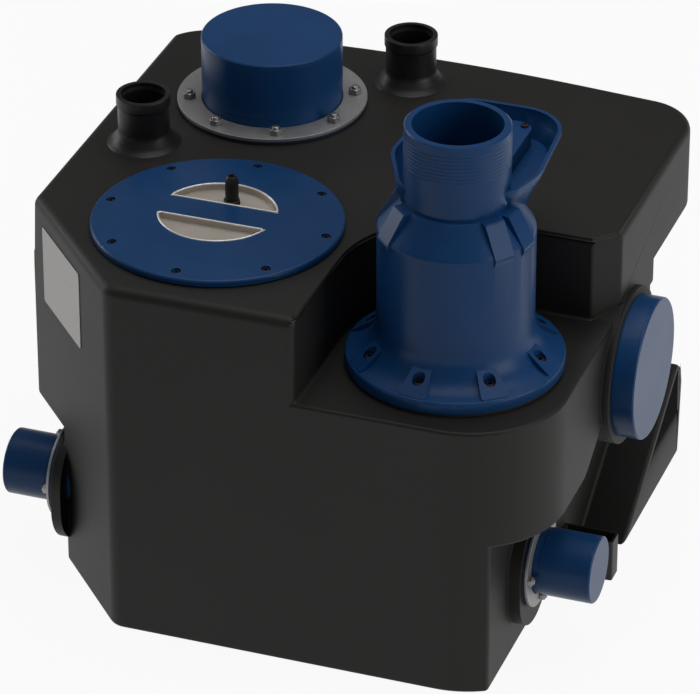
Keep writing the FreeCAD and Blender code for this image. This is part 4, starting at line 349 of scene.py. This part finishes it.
# %% [markdown]
# The packed pieces come as loose triangles with flat faces. The real ones have no knife edges: a mould or a
# file has rounded every one. So each piece that shows gets a copy whose triangles are merged into whole
# faces, whose edges are rounded by a narrow bevel, and whose curved walls are shaded smooth. The copy
# stands for the packed piece, which stays for the motion.


# %% Copies of packed pieces with whole faces
BODY_OF = {node: body for body, nodes in frame["record"]["behaviour"]["bodies"].items() for node in nodes}
MERGE = 0.004 * MM              # points nearer than this are one
FLAT = math.radians(0.25)       # faces that differ by less lie in one plane
SHARP = math.radians(32)        # an edge that turns by more stays an edge


def join_flat(source):
    """Join points that coincide and faces that lie in one plane."""
    bmesh.ops.remove_doubles(source, verts=source.verts, dist=MERGE)
    bmesh.ops.dissolve_limit(source, angle_limit=FLAT, verts=source.verts, edges=source.edges)


def merged_mesh(node, reshape=None):
    """The node's triangles merged into whole faces.
    A reshaping step, if there is one, comes between two mergers."""
    source = bmesh.new()
    source.from_mesh(frame["nodes"][node].data)
    join_flat(source)
    if reshape:
        reshape(source)
        join_flat(source)
    for face in source.faces:
        face.smooth = True
    for edge in source.edges:
        edge.smooth = not (edge.is_manifold and edge.calc_face_angle(0.0) > SHARP)
    mesh = bpy.data.meshes.new(node + "_finish")
    source.to_mesh(mesh)
    source.free()
    return mesh


# %% [markdown]
# A finished piece needs three things besides its shape: a finish, a body to ride on, and usually the node
# that it stands for. Two small functions give them, and a table then says which finish and which edge
# each packed piece gets.

# %% Finished copies of the pieces that show
def add_piece(name, mesh):
    """A new object in the scene, at the origin."""
    piece = bpy.data.objects.new(name, mesh)
    bpy.context.scene.collection.objects.link(piece)
    return piece


def stand_on(piece, node, material):
    """Give a piece its finish, and the body of the node that carries it."""
    piece.data.materials.append(material)
    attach(piece, BODY_OF[node])


def hand_over(piece, node, material):
    """The same for a piece that takes the node's place."""
    stand_on(piece, node, material)
    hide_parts(node)


def finish_copy(node, material, edge=0.0):
    """A finished copy of a node, its edges rounded by the width `edge` in metres."""
    piece = add_piece(node + "_finish", merged_mesh(node))
    if edge:
        bevel = piece.modifiers.new("edge", "BEVEL")
        bevel.width = edge
        bevel.segments = 2
        bevel.limit_method = "ANGLE"
        bevel.angle_limit = SHARP
        bevel.harden_normals = True
    hand_over(piece, node, material)


FINISHES = {                    # finish, and the width of the rounded edge in millimetres
    "vent_sockets": (vent_plastic, 0.8),
    "floor_anchor_left": (accessory_plastic, 0.5), "floor_anchor_right": (accessory_plastic, 0.5),
    "name_plate": (plate_metal, 0.25),
    "vent_seals": (seal_rubber, 0.3),
    "lid_gasket": (seal_rubber, 0.0), "inspection_lid": (lid_blue, 0.5), "lid_pans": (pan_steel, 0.35),
    "inlet_gasket": (seal_rubber, 0.0), "top_inlet_spigot": (pipe_blue, 0.4), "inlet_ring": (ring_steel, 0.5),
    "top_inlet_plug": (pipe_blue, 0.5),
    "side_inlet_spigot": (pipe_blue, 0.4), "side_inlet_seal": (seal_rubber, 0.3),
    "side_inlet_plug": (pipe_blue, 0.5),
    "discharge_valve_body": (valve_blue, 1.2), "valve_flange_gasket": (seal_rubber, 0.0),
    "valve_cover": (valve_blue, 0.5), "valve_cover_gasket": (seal_rubber, 0.0),
}
for side in ("left", "right"):
    FINISHES["stub_gasket_" + side] = (seal_rubber, 0.0)
    FINISHES["stub_spigot_" + side] = (pipe_blue, 0.4)
    FINISHES["stub_ring_" + side] = (ring_steel, 0.4)
    FINISHES["stub_plug_" + side] = (pipe_blue, 0.5)
for node, (material, edge) in FINISHES.items():
    finish_copy(node, material, edge * MM)
print("finished copies:", len(FINISHES))

# %% [markdown]
# The tank is the one piece whose edges must be rounded by different widths. Its mould has generous radii
# round the recess and smaller ones on the outer edges, and the rims of its openings are crisp. A Bevel
# modifier can read a weight from each edge, so one pass gives all of them. Two things would spoil it. The
# packed recess has a narrow slant on its upper edge, which is squared up first, and on narrow faces a wide
# bevel would overlap itself, so the room beside each edge limits its weight.

# %% The recess squared up, and the room beside each edge
TANK_TOP = 430.0                # in millimetres, as the foot of the slant
SLANT_FOOT = 426.0
HEIGHT_PLAY = 0.05
SLANT_PLAY = 0.004              # how far the normal of a slant of 45 degrees may be out


def square_recess_edge(source):
    """Carry the slanted faces of the recess's upper edge out to the wall below them.
    A point moves level, against the slant, by its height over the slant's foot."""
    pushes = {}
    for face in source.faces:
        heights = [corner.co.z / MM for corner in face.verts]
        slanted = abs(face.normal.z - math.sqrt(0.5)) < SLANT_PLAY
        between = abs(min(heights) - SLANT_FOOT) < HEIGHT_PLAY and abs(max(heights) - TANK_TOP) < HEIGHT_PLAY
        if slanted and between:
            level = Vector((face.normal.x, face.normal.y, 0)).normalized()
            for corner in face.verts:
                pushes.setdefault(corner, []).append(level)
    for corner, levels in pushes.items():
        mean = sum(levels, Vector()) / len(levels)
        corner.co += mean / mean.length_squared * (corner.co.z - SLANT_FOOT * MM)
    print("points of the recess's edge moved:", len(pushes))


def edge_room(mesh, points):
    """For each edge, how far the narrower of its two faces reaches away from it, in millimetres."""
    room = np.full(len(mesh.edges), np.inf)
    for face in mesh.polygons:
        corners = points[list(face.vertices)]
        along = np.roll(corners, -1, axis=0) - corners
        along = along / np.maximum(np.linalg.norm(along, axis=1, keepdims=True), 1e-9)
        offset = corners[None] - corners[:, None]
        across = np.linalg.norm(np.cross(offset, along[:, None]), axis=2).max(axis=1)
        edges = [mesh.loops[corner].edge_index for corner in face.loop_indices]
        np.minimum.at(room, edges, across)
    return room


print("the slant is", TANK_TOP - SLANT_FOOT, "mm high")

# %% [markdown]
# The weights come from simple zones: boxes and short cylinders in the tank's own millimetres. What lies in
# none of them is an ordinary outer edge.

# %% Zones of the tank's edges
LID = (-107, -145)              # middles seen from above, in millimetres
INLET = (-152, 148)
VALVE = (174, -170)
VENTS = (-254, 10), (-20, 248)
TANK_BEVEL = 8.0                # the widest rounding, for a weight of 1
OUTER, RECESS, RECESS_END, HOLE = 0.50, 1.0, 0.30, 0.09
RECESS_BOX = (30, -320, 335), (330, 10, 432)
RECESS_END_BOX = (284, -60, 335), (330, 10, 432)
OPENINGS = (                    # centre, axis and radius of what must stay crisp
    ((*LID, TANK_TOP), 2, 150), ((*INLET, TANK_TOP), 2, 112), ((*VALVE, 328), 2, 128),
    ((*VENTS[0], TANK_TOP), 2, 30), ((*VENTS[1], TANK_TOP), 2, 30),
    ((290, 10, 252), 0, 96), ((270, -177, 90), 0, 72), ((-275, -177, 90), 0, 72),
)
OPENING_REACH = 40              # how far an opening's zone goes along its axis
ROOM_SHARE = 0.42               # the part of the room beside an edge that its rounding may take


def within(points, low, high):
    """Which points lie in a box."""
    return np.all((points > low) & (points < high), axis=1)


def edge_weights(mesh):
    """Bevel weight of each edge: 0 where it is blunt, and otherwise its zone's weight.
    The room beside the edge limits it."""
    points = np.empty(len(mesh.vertices) * 3)
    mesh.vertices.foreach_get("co", points)
    points = points.reshape(-1, 3) / MM
    ends = np.empty(len(mesh.edges) * 2, dtype=int)
    mesh.edges.foreach_get("vertices", ends)
    middles = points[ends.reshape(-1, 2)].mean(axis=1)
    sharp = np.array([edge.use_edge_sharp for edge in mesh.edges])
    weight = np.where(sharp, OUTER, 0.0)
    weight[sharp & within(middles, *RECESS_BOX)] = RECESS
    weight[sharp & within(middles, *RECESS_END_BOX)] = RECESS_END
    for centre, axis, radius in OPENINGS:
        offset = middles - np.array(centre)
        across = np.delete(offset, axis, axis=1)
        near = (np.hypot(*across.T) < radius) & (np.abs(offset[:, axis]) < OPENING_REACH)
        weight[near & sharp & (weight == OUTER)] = HOLE
    return np.minimum(weight, ROOM_SHARE * edge_room(mesh, points) / TANK_BEVEL)


print("zones:", 2 + len(OPENINGS))

# %% [markdown]
# Now the tank can be made: merged and squared up, with a weight written on each edge, and one Bevel
# modifier that reads those weights. Four segments are enough for a radius that is small beside the tank.

# %% Tank with soft outer edges
def make_tank():
    """The packed tank with its weights and its bevel."""
    mesh = merged_mesh("tank_shell", square_recess_edge)
    weights = mesh.attributes.new("bevel_weight_edge", "FLOAT", "EDGE")
    values = edge_weights(mesh)
    weights.data.foreach_set("value", values)
    tank = add_piece("tank_shell_finish", mesh)
    bevel = tank.modifiers.new("edge", "BEVEL")
    bevel.width = TANK_BEVEL * MM
    bevel.segments = 4
    bevel.limit_method = "WEIGHT"
    bevel.use_clamp_overlap = False
    bevel.harden_normals = True
    for weight in (OUTER, RECESS, RECESS_END, HOLE):
        print("edges rounded by", round(weight * TANK_BEVEL, 1), "mm:", int((values == weight).sum()))
    hand_over(tank, "tank_shell", tank_plastic)


make_tank()

# %% [markdown]
# Screws, studs and the gland are too fine for the construction, which gives them plain heads. Here each
# becomes one closed skin worked out as a grid of points: the rows climb along the axis and the columns run
# round it. A radius that changes with the angle gives hexagons and flutes, and a thread is a radius that
# changes with the angle and the height together.

# %% Grids of points
SKIN_SHARP = math.radians(35)


def angles(count):
    """Evenly spaced angles of a full turn. The last is left out, because it meets the first."""
    return np.arange(count) * (2 * math.pi / count)


def turned(rows, count):
    """Points [row, column, xyz] about the Z axis: (radius cos a, radius sin a, height) at each angle a.
    A row is (radius, height), and both may vary with the angle."""
    angle = angles(count)
    radius = np.array([np.broadcast_to(r, count) for r, _ in rows])
    height = np.array([np.broadcast_to(z, count) for _, z in rows])
    return np.stack([radius * np.cos(angle), radius * np.sin(angle), height], axis=-1)


def grid_faces(rows, columns, ring):
    """Quads between neighbours: point (row, column) has the number row * columns + column.
    The rows close on themselves as a ring, or the first and the last row are closed by one face each."""
    row, column = np.meshgrid(np.arange(rows if ring else rows - 1), np.arange(columns), indexing="ij")
    next_row, next_column = (row + 1) % rows, (column + 1) % columns
    quads = np.stack([row * columns + column, row * columns + next_column,
                      next_row * columns + next_column, next_row * columns + column], axis=-1)
    faces = quads.reshape(-1, 4).tolist()
    if not ring:
        faces.append(list(range(columns))[::-1])
        faces.append(list(range((rows - 1) * columns, rows * columns)))
    return faces


def skin(name, grids, ring=False):
    """One smooth-shaded piece from a list of grids in millimetres. Edges over 35 degrees stay sharp."""
    points, faces, first = [], [], 0
    for grid in grids:
        rows, columns = grid.shape[:2]
        points.append(grid.reshape(-1, 3) * MM)
        faces += [[first + corner for corner in face] for face in grid_faces(rows, columns, ring)]
        first += rows * columns
    mesh = bpy.data.meshes.new(name)
    mesh.from_pydata(np.concatenate(points).tolist(), [], faces)
    mesh.shade_smooth()
    mesh.set_sharp_from_angle(angle=SKIN_SHARP)
    print(name + ":", len(grids), "grids,", len(mesh.polygons), "faces")
    return add_piece(name, mesh)


print("columns of a grid of four:", np.degrees(angles(4)).round().tolist())

# %% [markdown]
# A grid is worked out about the Z axis, where its sums are short. Two more functions carry it to its place:
# one turns and moves points, and the other gives the places of a circle of screws.

# %% Points carried to their place
UP = (0, 0, 1)


def stand(points, place, axis=UP):
    """Points about Z carried to a place, with their Z turned to the axis."""
    turn = np.array(Vector(UP).rotation_difference(Vector(axis)).to_matrix())
    return points @ turn.T + np.array(place)


def bolt_circle(centre, axis, circle, count, first=0.0):
    """The places of a circle of screws about an axis."""
    angle = np.radians(first) + angles(count)
    flat = np.stack([np.cos(angle), np.sin(angle), np.zeros(count)], axis=-1) * circle / 2
    return stand(flat, centre, axis)


print("two places on a circle:", bolt_circle((0, 0, 0), UP, 2, 2).round(1).tolist())

# %% [markdown]
# A hexagon nut is not a plain prism. It is turned before it is milled, so a shallow cone takes its six
# corners off and leaves the curved lines every spanner user knows. Taking the smaller of the two radii, the
# hexagon's and the cone's, gives exactly that. The stud's end carries a thread whose depth is a triangle
# wave: one full wave for each pitch climbed, shifted by one pitch for each turn.

# %% Nut and thread
STUD_COLUMNS = 60
THREAD_ROWS = 8                 # rows for each pitch
THREAD_DEPTH = 0.3              # as a share of the pitch
NUT_ROWS = np.array([0.0, 0.07, 0.15, 0.24, 0.76, 0.85, 0.93, 1.0])
CONE_START, CONE_SLOPE = 0.475, 1.8         # radius at the face as a share of the flats, and its growth


def hexagon(flats, count):
    """Distance from the axis to the side of a hexagon: half the flats over the cosine of the angle
    from the middle of the side."""
    sixth = math.pi / 3
    return flats / 2 / np.cos(angles(count) % sixth - sixth / 2)


def milled(flats, low, high, count):
    """Rows of a hexagon whose corners are cut by a cone at both ends: the smaller of the two radii."""
    height = low + (high - low) * NUT_ROWS
    cone = flats * CONE_START + CONE_SLOPE * np.minimum(height - low, high - height)
    return [(np.minimum(hexagon(flats, count), c), z) for c, z in zip(cone, height)]


def thread(radius, low, high, pitch, count):
    """Rows of a screw thread, from low to high: the radius less a triangle wave of height and angle."""
    height = np.linspace(low, high, int(THREAD_ROWS * (high - low) / pitch) + 2)
    turns = height[:, None] / pitch - angles(count) / (2 * math.pi)
    wave = np.abs(2 * (turns % 1) - 1)
    return list(zip(radius - THREAD_DEPTH * pitch * wave, height))


print("corner of a 13 mm hexagon:", round(float(hexagon(13.0, STUD_COLUMNS).max()), 2), "mm from its axis")

# %% [markdown]
# A stud is a stack of such rows: the shank, the nut and the threaded end. The top inlet has eight of them
# and each side stub four, all on circles. The stubs' studs lie level, so their grid is turned to the side.

# %% Studs with nuts
PITCH = 1.0
FOOT_BEVEL = 0.5
TIP_SHARE = 0.72                # radius of the end face as a share of the stud's
INLET_STUD_CIRCLE, STUB_STUD_CIRCLE = 188, 92
INLET_FIRST = 22.5              # angle of the first stud, in degrees
STUB_FACES = ("left", (-1, 0, 0), -278), ("right", (1, 0, 0), 272)      # side, axis, and where the boss ends
STUB_MIDDLE = (-177, 101)       # the stub's axis: its place along Y and its height


def stud(radius, below, seat, flats, nut, tip):
    """A stud from its foot up: shank, nut, and the threaded end with its bevel.
    It starts below its face, and the nut stands on its seat above that face."""
    top = seat + nut
    rows = [(radius - FOOT_BEVEL, -below), (radius, FOOT_BEVEL - below), (radius, seat)]
    rows += milled(flats, seat, top, STUD_COLUMNS)
    rows += [(radius + 0.7, top), (radius + 0.1, top - 0.6)]
    rows += thread(radius, top - 0.3, top + tip - 0.6, PITCH, STUD_COLUMNS)
    rows += [(radius * TIP_SHARE, top + tip)]
    return turned(rows, STUD_COLUMNS)


inlet_stud = stud(radius=4.0, below=9.0, seat=8.0, flats=13.0, nut=6.5, tip=3.0)
places = bolt_circle((*INLET, TANK_TOP), UP, INLET_STUD_CIRCLE, 8, INLET_FIRST)
inlet_studs = [stand(inlet_stud, place) for place in places]
hand_over(skin("inlet_studs", inlet_studs), "inlet_bolts", steel)
stub_stud = stud(radius=3.0, below=8.0, seat=6.5, flats=10.0, nut=5.0, tip=2.0)
for side, axis, face_x in STUB_FACES:
    places = bolt_circle((face_x, *STUB_MIDDLE), axis, STUB_STUD_CIRCLE, 4)
    studs = [stand(stub_stud, place, axis) for place in places]
    hand_over(skin("stub_studs_" + side, studs), "stub_bolts_" + side, steel)

# %% [markdown]
# The screws of the lid, the valve and the small cover have domed heads with a six-sided socket for the key.
# The grid goes up the shank, over the head, and down again into the socket, so the head is one skin with
# its hole.

# %% Screws with a socket
LID_SEAT, FLANGE_SEAT, COVER_SEAT = 435.5, 350, 540.5      # heights that the heads stand on
LID_CIRCLE, FLANGE_CIRCLE = 250, 196
FLANGE_FIRST = -5.0             # angle of the first screw of the flange, in degrees
CROWN_SHARE = 0.68              # radius of the socket's rim as a share of the key
RIM_SHARE = 0.45                # height at which the head's side turns into its dome
COVER = (169, -57)
COVER_HALF = (30, 42)           # from the cover's middle to its screws


def socket_screw(shank, length, head, height, key):
    """A screw from its foot to the floor of its socket. Its head stands on z = 0.
    Shank and head are radii, and the key is the width across the socket's flats."""
    flats = hexagon(key, STUD_COLUMNS)
    shank_rows = [(shank - 0.6, -length), (shank, 0.8 - length), (shank, 0.0)]
    dome = np.radians([18, 36, 54, 72])
    crown = key * CROWN_SHARE
    head_rows = [(head - 0.3, 0.0), (head, 0.3), (head, height * RIM_SHARE)]
    head_rows += [(crown + (head - crown) * math.cos(a), height * (RIM_SHARE + (1 - RIM_SHARE) * math.sin(a)))
                  for a in dome]
    socket = [(crown, height), (flats + 0.15, height - 0.05), (flats, height - 0.3), (flats, height * 0.3)]
    return turned(shank_rows + head_rows + socket, STUD_COLUMNS)


signs = ((-1, -1), (-1, 1), (1, -1), (1, 1))
corners = [(COVER[0] + x * COVER_HALF[0], COVER[1] + y * COVER_HALF[1], COVER_SEAT) for x, y in signs]
SCREWS = (                      # name, node, screw, places
    ("lid_socket_screws", "lid_screws",
     socket_screw(shank=3.0, length=16.0, head=5.0, height=3.0, key=4.0),
     bolt_circle((*LID, LID_SEAT), UP, LID_CIRCLE, 8)),
    ("valve_socket_screws", "valve_flange_screws",
     socket_screw(shank=4.0, length=42.0, head=6.5, height=5.0, key=5.0),
     bolt_circle((*VALVE, FLANGE_SEAT), UP, FLANGE_CIRCLE, 8, FLANGE_FIRST)),
    ("cover_socket_screws", "valve_cover_screws",
     socket_screw(shank=2.5, length=14.0, head=4.5, height=3.0, key=3.0), corners),
)
for name, node, screw, places in SCREWS:
    hand_over(skin(name, [stand(screw, place) for place in places]), node, dark_steel)

# %% [markdown]
# The cable gland is two plastic parts on one tail: a hexagon that stands on the pan, and a clamping nut
# with grips all round so that it can be turned by hand. The grips are a cosine of twelve waves, flattened
# by a power so that they read as ribs. The path runs up the outside and down the cable hole, and closes on
# itself.

# %% Cable gland
GLAND_FOOT = (-104, -109, 439)  # on the floor of the rear pan
GLAND_COLUMNS = 96
FLATS = 17.0                    # of the body and of the nut under the pan


def gland_rows(count):
    """Rows from the tail up the outside, over the mouth and down the bore. Each is a radius and a height."""
    ribs = 0.45 * np.abs(np.cos(6 * angles(count))) ** 0.6
    tail = thread(7.5, -8.5, -6.6, 1.5, count)
    lock_nut = milled(FLATS, -6.5, -1.5, count)
    neck = [(7.5, -1.5), (7.5, 0.0)]
    body = milled(FLATS, 0.0, 5.0, count)
    barrel = [(7.0, 5.0), (7.0, 6.2), (6.9 + ribs, 7.0), (7.0 + ribs, 8.0), (7.0 + ribs, 25.0)]
    arc = np.radians([15, 30, 45, 60, 75])
    dome = [(4.4 + (2.7 + ribs * math.cos(a)) * math.cos(a), 25.0 + 8.6 * math.sin(a)) for a in arc]
    mouth = [(4.3, 34.0), (3.9, 34.0), (3.5, 33.4), (3.5, 20.0), (3.5, -8.5)]
    return tail + lock_nut + neck + body + barrel + dome + mouth


gland = turned(gland_rows(GLAND_COLUMNS), GLAND_COLUMNS)
hand_over(skin("gland", [stand(gland, GLAND_FOOT)], ring=True), "cable_gland", accessory_plastic)

# %% [markdown]
# The pressed pans have a polished bead where the plate is rolled over the edge of the lid. It lies on the
# packed pans and takes the place of nothing. A bead is a small circle carried along a closed path, here the
# outline of each half-round pan, and the rear pan's path is the front one's turned by half a turn.

# %% Beads round the pans
BEAD = 1.1                      # radius of the bead
BEAD_HEIGHT = 446.0
PAN_RADIUS, PAN_START, PAN_CORNER = 66.0, 19.0, 3.0
PATH_POINTS, BEAD_COLUMNS = 96, 12


def half_disc(radius, start, corner, count):
    """Points along a half disc's outline whose two corners are rounded, run anticlockwise, before the bar.
    The rounding circles touch the chord and the big circle from within."""
    middle_y = start + corner
    middle_x = math.sqrt((radius - corner) ** 2 - middle_y ** 2)
    tilt = math.atan2(middle_y, middle_x)
    big = np.linspace(tilt, math.pi - tilt, count)
    left = np.linspace(math.pi - tilt, 1.5 * math.pi, count // 4)
    right = np.linspace(-0.5 * math.pi, tilt, count // 4)
    arcs = [np.stack([radius * np.cos(big), radius * np.sin(big)], axis=-1),
            np.stack([corner * np.cos(left) - middle_x, corner * np.sin(left) + middle_y], axis=-1)[1:],
            np.stack([corner * np.cos(right) + middle_x, corner * np.sin(right) + middle_y], axis=-1)[:-1]]
    return np.concatenate(arcs)


def carried(path, height, radius, count):
    """A circle carried along a closed flat path: path + radius (cos t outward + sin t up) at each angle t.
    Outward is the path's direction turned by a quarter."""
    along = np.roll(path, -1, axis=0) - np.roll(path, 1, axis=0)
    along = along / np.linalg.norm(along, axis=1, keepdims=True)
    outward = np.stack([along[:, 1], -along[:, 0]], axis=-1)
    turn = angles(count)[:, None, None]
    flat = path[None] + radius * np.cos(turn) * outward[None]
    rise = np.broadcast_to(height + radius * np.sin(turn), flat.shape[:2] + (1,))
    return np.concatenate([flat, rise], axis=-1)


path = half_disc(PAN_RADIUS - BEAD, PAN_START + BEAD, PAN_CORNER, PATH_POINTS)
beads = [stand(carried(path * turn, BEAD_HEIGHT, BEAD, BEAD_COLUMNS), (*LID, 0)) for turn in (1, -1)]
# the bead's near-white finish is partly a painted highlight on its polished rim
stand_on(skin("pan_beads", beads, ring=True), "lid_pans", bead_highlight_steel)

# %% [markdown]
# The neck of the valve has fine ridges that keep a hose sleeve from sliding off. They are a wave on a
# turned ring: a raised cosine, squared so that its crests are narrow. The ring's inner side lies within the
# neck's wall.

# %% Ridges on the neck
NECK_RADIUS, RIDGE_DEPTH, RIDGE_COLUMNS = 57.15, 0.35, 144
RIDGE_LOW, RIDGE_HIGH, RIDGE_PITCH, RIDGE_ROWS = 572.0, 606.0, 4.25, 97
SUNK = 0.05                     # how far the valleys lie under the neck's skin
IN_WALL = 2.0                   # how far the inner side lies under it


def ridge_rows(radius, depth):
    """Rows up a wave outside the neck, and down again inside its wall.
    The wave is the depth times half of (1 - cos), squared."""
    height = np.linspace(RIDGE_LOW, RIDGE_HIGH, RIDGE_ROWS)
    wave = depth * (0.5 - 0.5 * np.cos(2 * math.pi * (height - RIDGE_LOW) / RIDGE_PITCH)) ** 2
    outside = list(zip(radius - SUNK + wave, height))
    return outside + [(radius - IN_WALL, RIDGE_HIGH), (radius - IN_WALL, RIDGE_LOW)]


ridges = turned(ridge_rows(NECK_RADIUS, RIDGE_DEPTH), RIDGE_COLUMNS)
stand_on(skin("neck_ridges", [stand(ridges, (*VALVE, 0))], ring=True), "discharge_valve_body", valve_blue)

# %% [markdown]
# The pump, the riser, the flap and the float are out of sight until the lid comes off or a piece is pulled
# out. They get the same treatment with simpler finishes.

# %% Inner pieces
INNER_EDGE = 0.4                # width of their rounded edges
INNER = {
    pump_iron: ["pump_volute", "pump_impeller", "pump_feet", "motor_housing", "motor_cap", "riser_pipe",
                "valve_flap"],
    steel: ["pump_shaft", "lower_bearing", "upper_bearing", "rotor_core", "stator", "valve_flap_pin",
            "float_bracket", "float_pivot_pin", "float_arm"],
    seal_rubber: ["pump_foot_pads", "shaft_seal", "valve_flap_facing", "riser_gasket_low",
                  "riser_gasket_top"],
    seat_brass: ["valve_seat"],
    float_plastic: ["float_ball"],
    accessory_plastic: ["float_switch"],
}
for material, nodes in INNER.items():
    for node in nodes:
        finish_copy(node, material, INNER_EDGE * MM)
print("inner pieces:", sum(len(nodes) for nodes in INNER.values()))

# %% [markdown]
# The station stands on a plain pale floor. The floor is wide enough to fill every view from above. It is
# lit by the same lamps as the object, so it keeps a faint soft shadow. Camera, glossy and transmission rays
# see it nearly white, which gives the white ground without more light on the object.

# %% Floor and backdrop
FLOOR_HALF = 12.0
FLOOR_DROP = 0.2                # in millimetres: the feet stand this far above it, so the two don't flicker
FLOOR_PALE = (0.62, 0.62, 0.62)
WHITE = (1.0, 1.0, 1.0)
FLOOR_GLOW = 0.93               # share of plain white in what those rays see


def make_floor():
    """A square at floor height, seen brighter by camera, glossy and transmission rays."""
    signs = ((-1, -1), (1, -1), (1, 1), (-1, 1))
    corners = [(x * FLOOR_HALF, y * FLOOR_HALF, -FLOOR_DROP * MM) for x, y in signs]
    mesh = bpy.data.meshes.new("floor")
    mesh.from_pydata(corners, [], [(0, 1, 2, 3)])
    paint = Paint(bpy.data.materials.new("floor"))
    path = paint.node("ShaderNodeLightPath")
    seen = paint.larger(path["Is Camera Ray"], path["Is Glossy Ray"])
    seen = paint.larger(seen, path["Is Transmission Ray"])
    paint.set(Base_Color=FLOOR_PALE, Roughness=0.9, Specular_IOR_Level=0.1)
    glow = paint.node("ShaderNodeEmission", None, {"Color": WHITE, "Strength": 1.0})["Emission"]
    surface = Wire(paint, paint.shader.outputs["BSDF"])
    mixed = paint.node("ShaderNodeMixShader", None, {0: seen * FLOOR_GLOW, 1: surface, 2: glow})
    paint.end_in(mixed["Shader"])
    mesh.materials.append(paint.owner)
    add_piece("floor", mesh)


make_floor()
print("floor", 2 * FLOOR_HALF, "m wide")

# %% [markdown]
# In the photograph the right sides are the brightest, the tops come next and the front is the darkest. So a
# large soft lamp stands to the right, a second hangs above, and a weaker one brightens the slanted corner
# at the left. The world adds a low even light, and camera and transmission rays see it white.

# %% World and lamps
WORLD_LEVEL = 0.16
MIDDLE = (0.0, 0.0, 0.25)       # what the lamps face
LAMPS = (                       # name, place in metres, width and height, watts
    ("right lamp", (4.2, -0.6, 1.7), (2.6, 2.6), 60.0),
    ("top lamp", (0.3, 0.4, 4.0), (3.2, 3.2), 72.0),
    ("left lamp", (-3.7, 0.7, 1.5), (1.6, 2.4), 34.0),
)


def make_world():
    """Grey for the light that falls on things, white for camera and transmission rays."""
    sky = Paint(bpy.data.worlds.new("studio"), "Background")
    path = sky.node("ShaderNodeLightPath")
    seen = sky.larger(path["Is Camera Ray"], path["Is Transmission Ray"])
    sky.set(Color=WHITE, Strength=sky.larger(seen, WORLD_LEVEL))
    bpy.context.scene.world = sky.owner


def make_lamp(name, place, size, power):
    """A soft rectangular lamp that faces the middle of the object."""
    light = bpy.data.lights.new(name, "AREA")
    light.shape = "RECTANGLE"
    light.size, light.size_y = size
    light.energy = power
    lamp = bpy.data.objects.new(name, light)
    bpy.context.scene.collection.objects.link(lamp)
    lamp.location = place
    lamp.rotation_euler = (Vector(MIDDLE) - lamp.location).to_track_quat("-Z", "Y").to_euler()


make_world()
for lamp in LAMPS:
    make_lamp(*lamp)

# %% [markdown]
# The camera was worked out from the tank's straight edges: it stands well back with a long lens, a little
# to the right of the front and thirty degrees above. Only its place, its target and its lens are written
# down.

# %% Camera
CAMERA_PLACE = Vector((1.6149, -4.5776, 3.0541))
CAMERA_TARGET = Vector((0.0169, -0.0650, 0.2567))
FOCAL_PIXELS = 5000.0
PICTURE_WIDTH = 700.0
SENSOR_WIDTH = 36.0

camera_data = bpy.data.cameras.new("camera")
camera_data.sensor_width = SENSOR_WIDTH
camera_data.lens = SENSOR_WIDTH * FOCAL_PIXELS / PICTURE_WIDTH
camera = bpy.data.objects.new("camera", camera_data)
bpy.context.scene.collection.objects.link(camera)
camera.location = CAMERA_PLACE
camera.rotation_euler = (CAMERA_TARGET - CAMERA_PLACE).to_track_quat("-Z", "Y").to_euler()
bpy.context.scene.camera = camera
bpy.context.scene.view_settings.view_transform = "Standard"
print("lens", round(camera_data.lens, 1), "mm")

# %% [markdown]
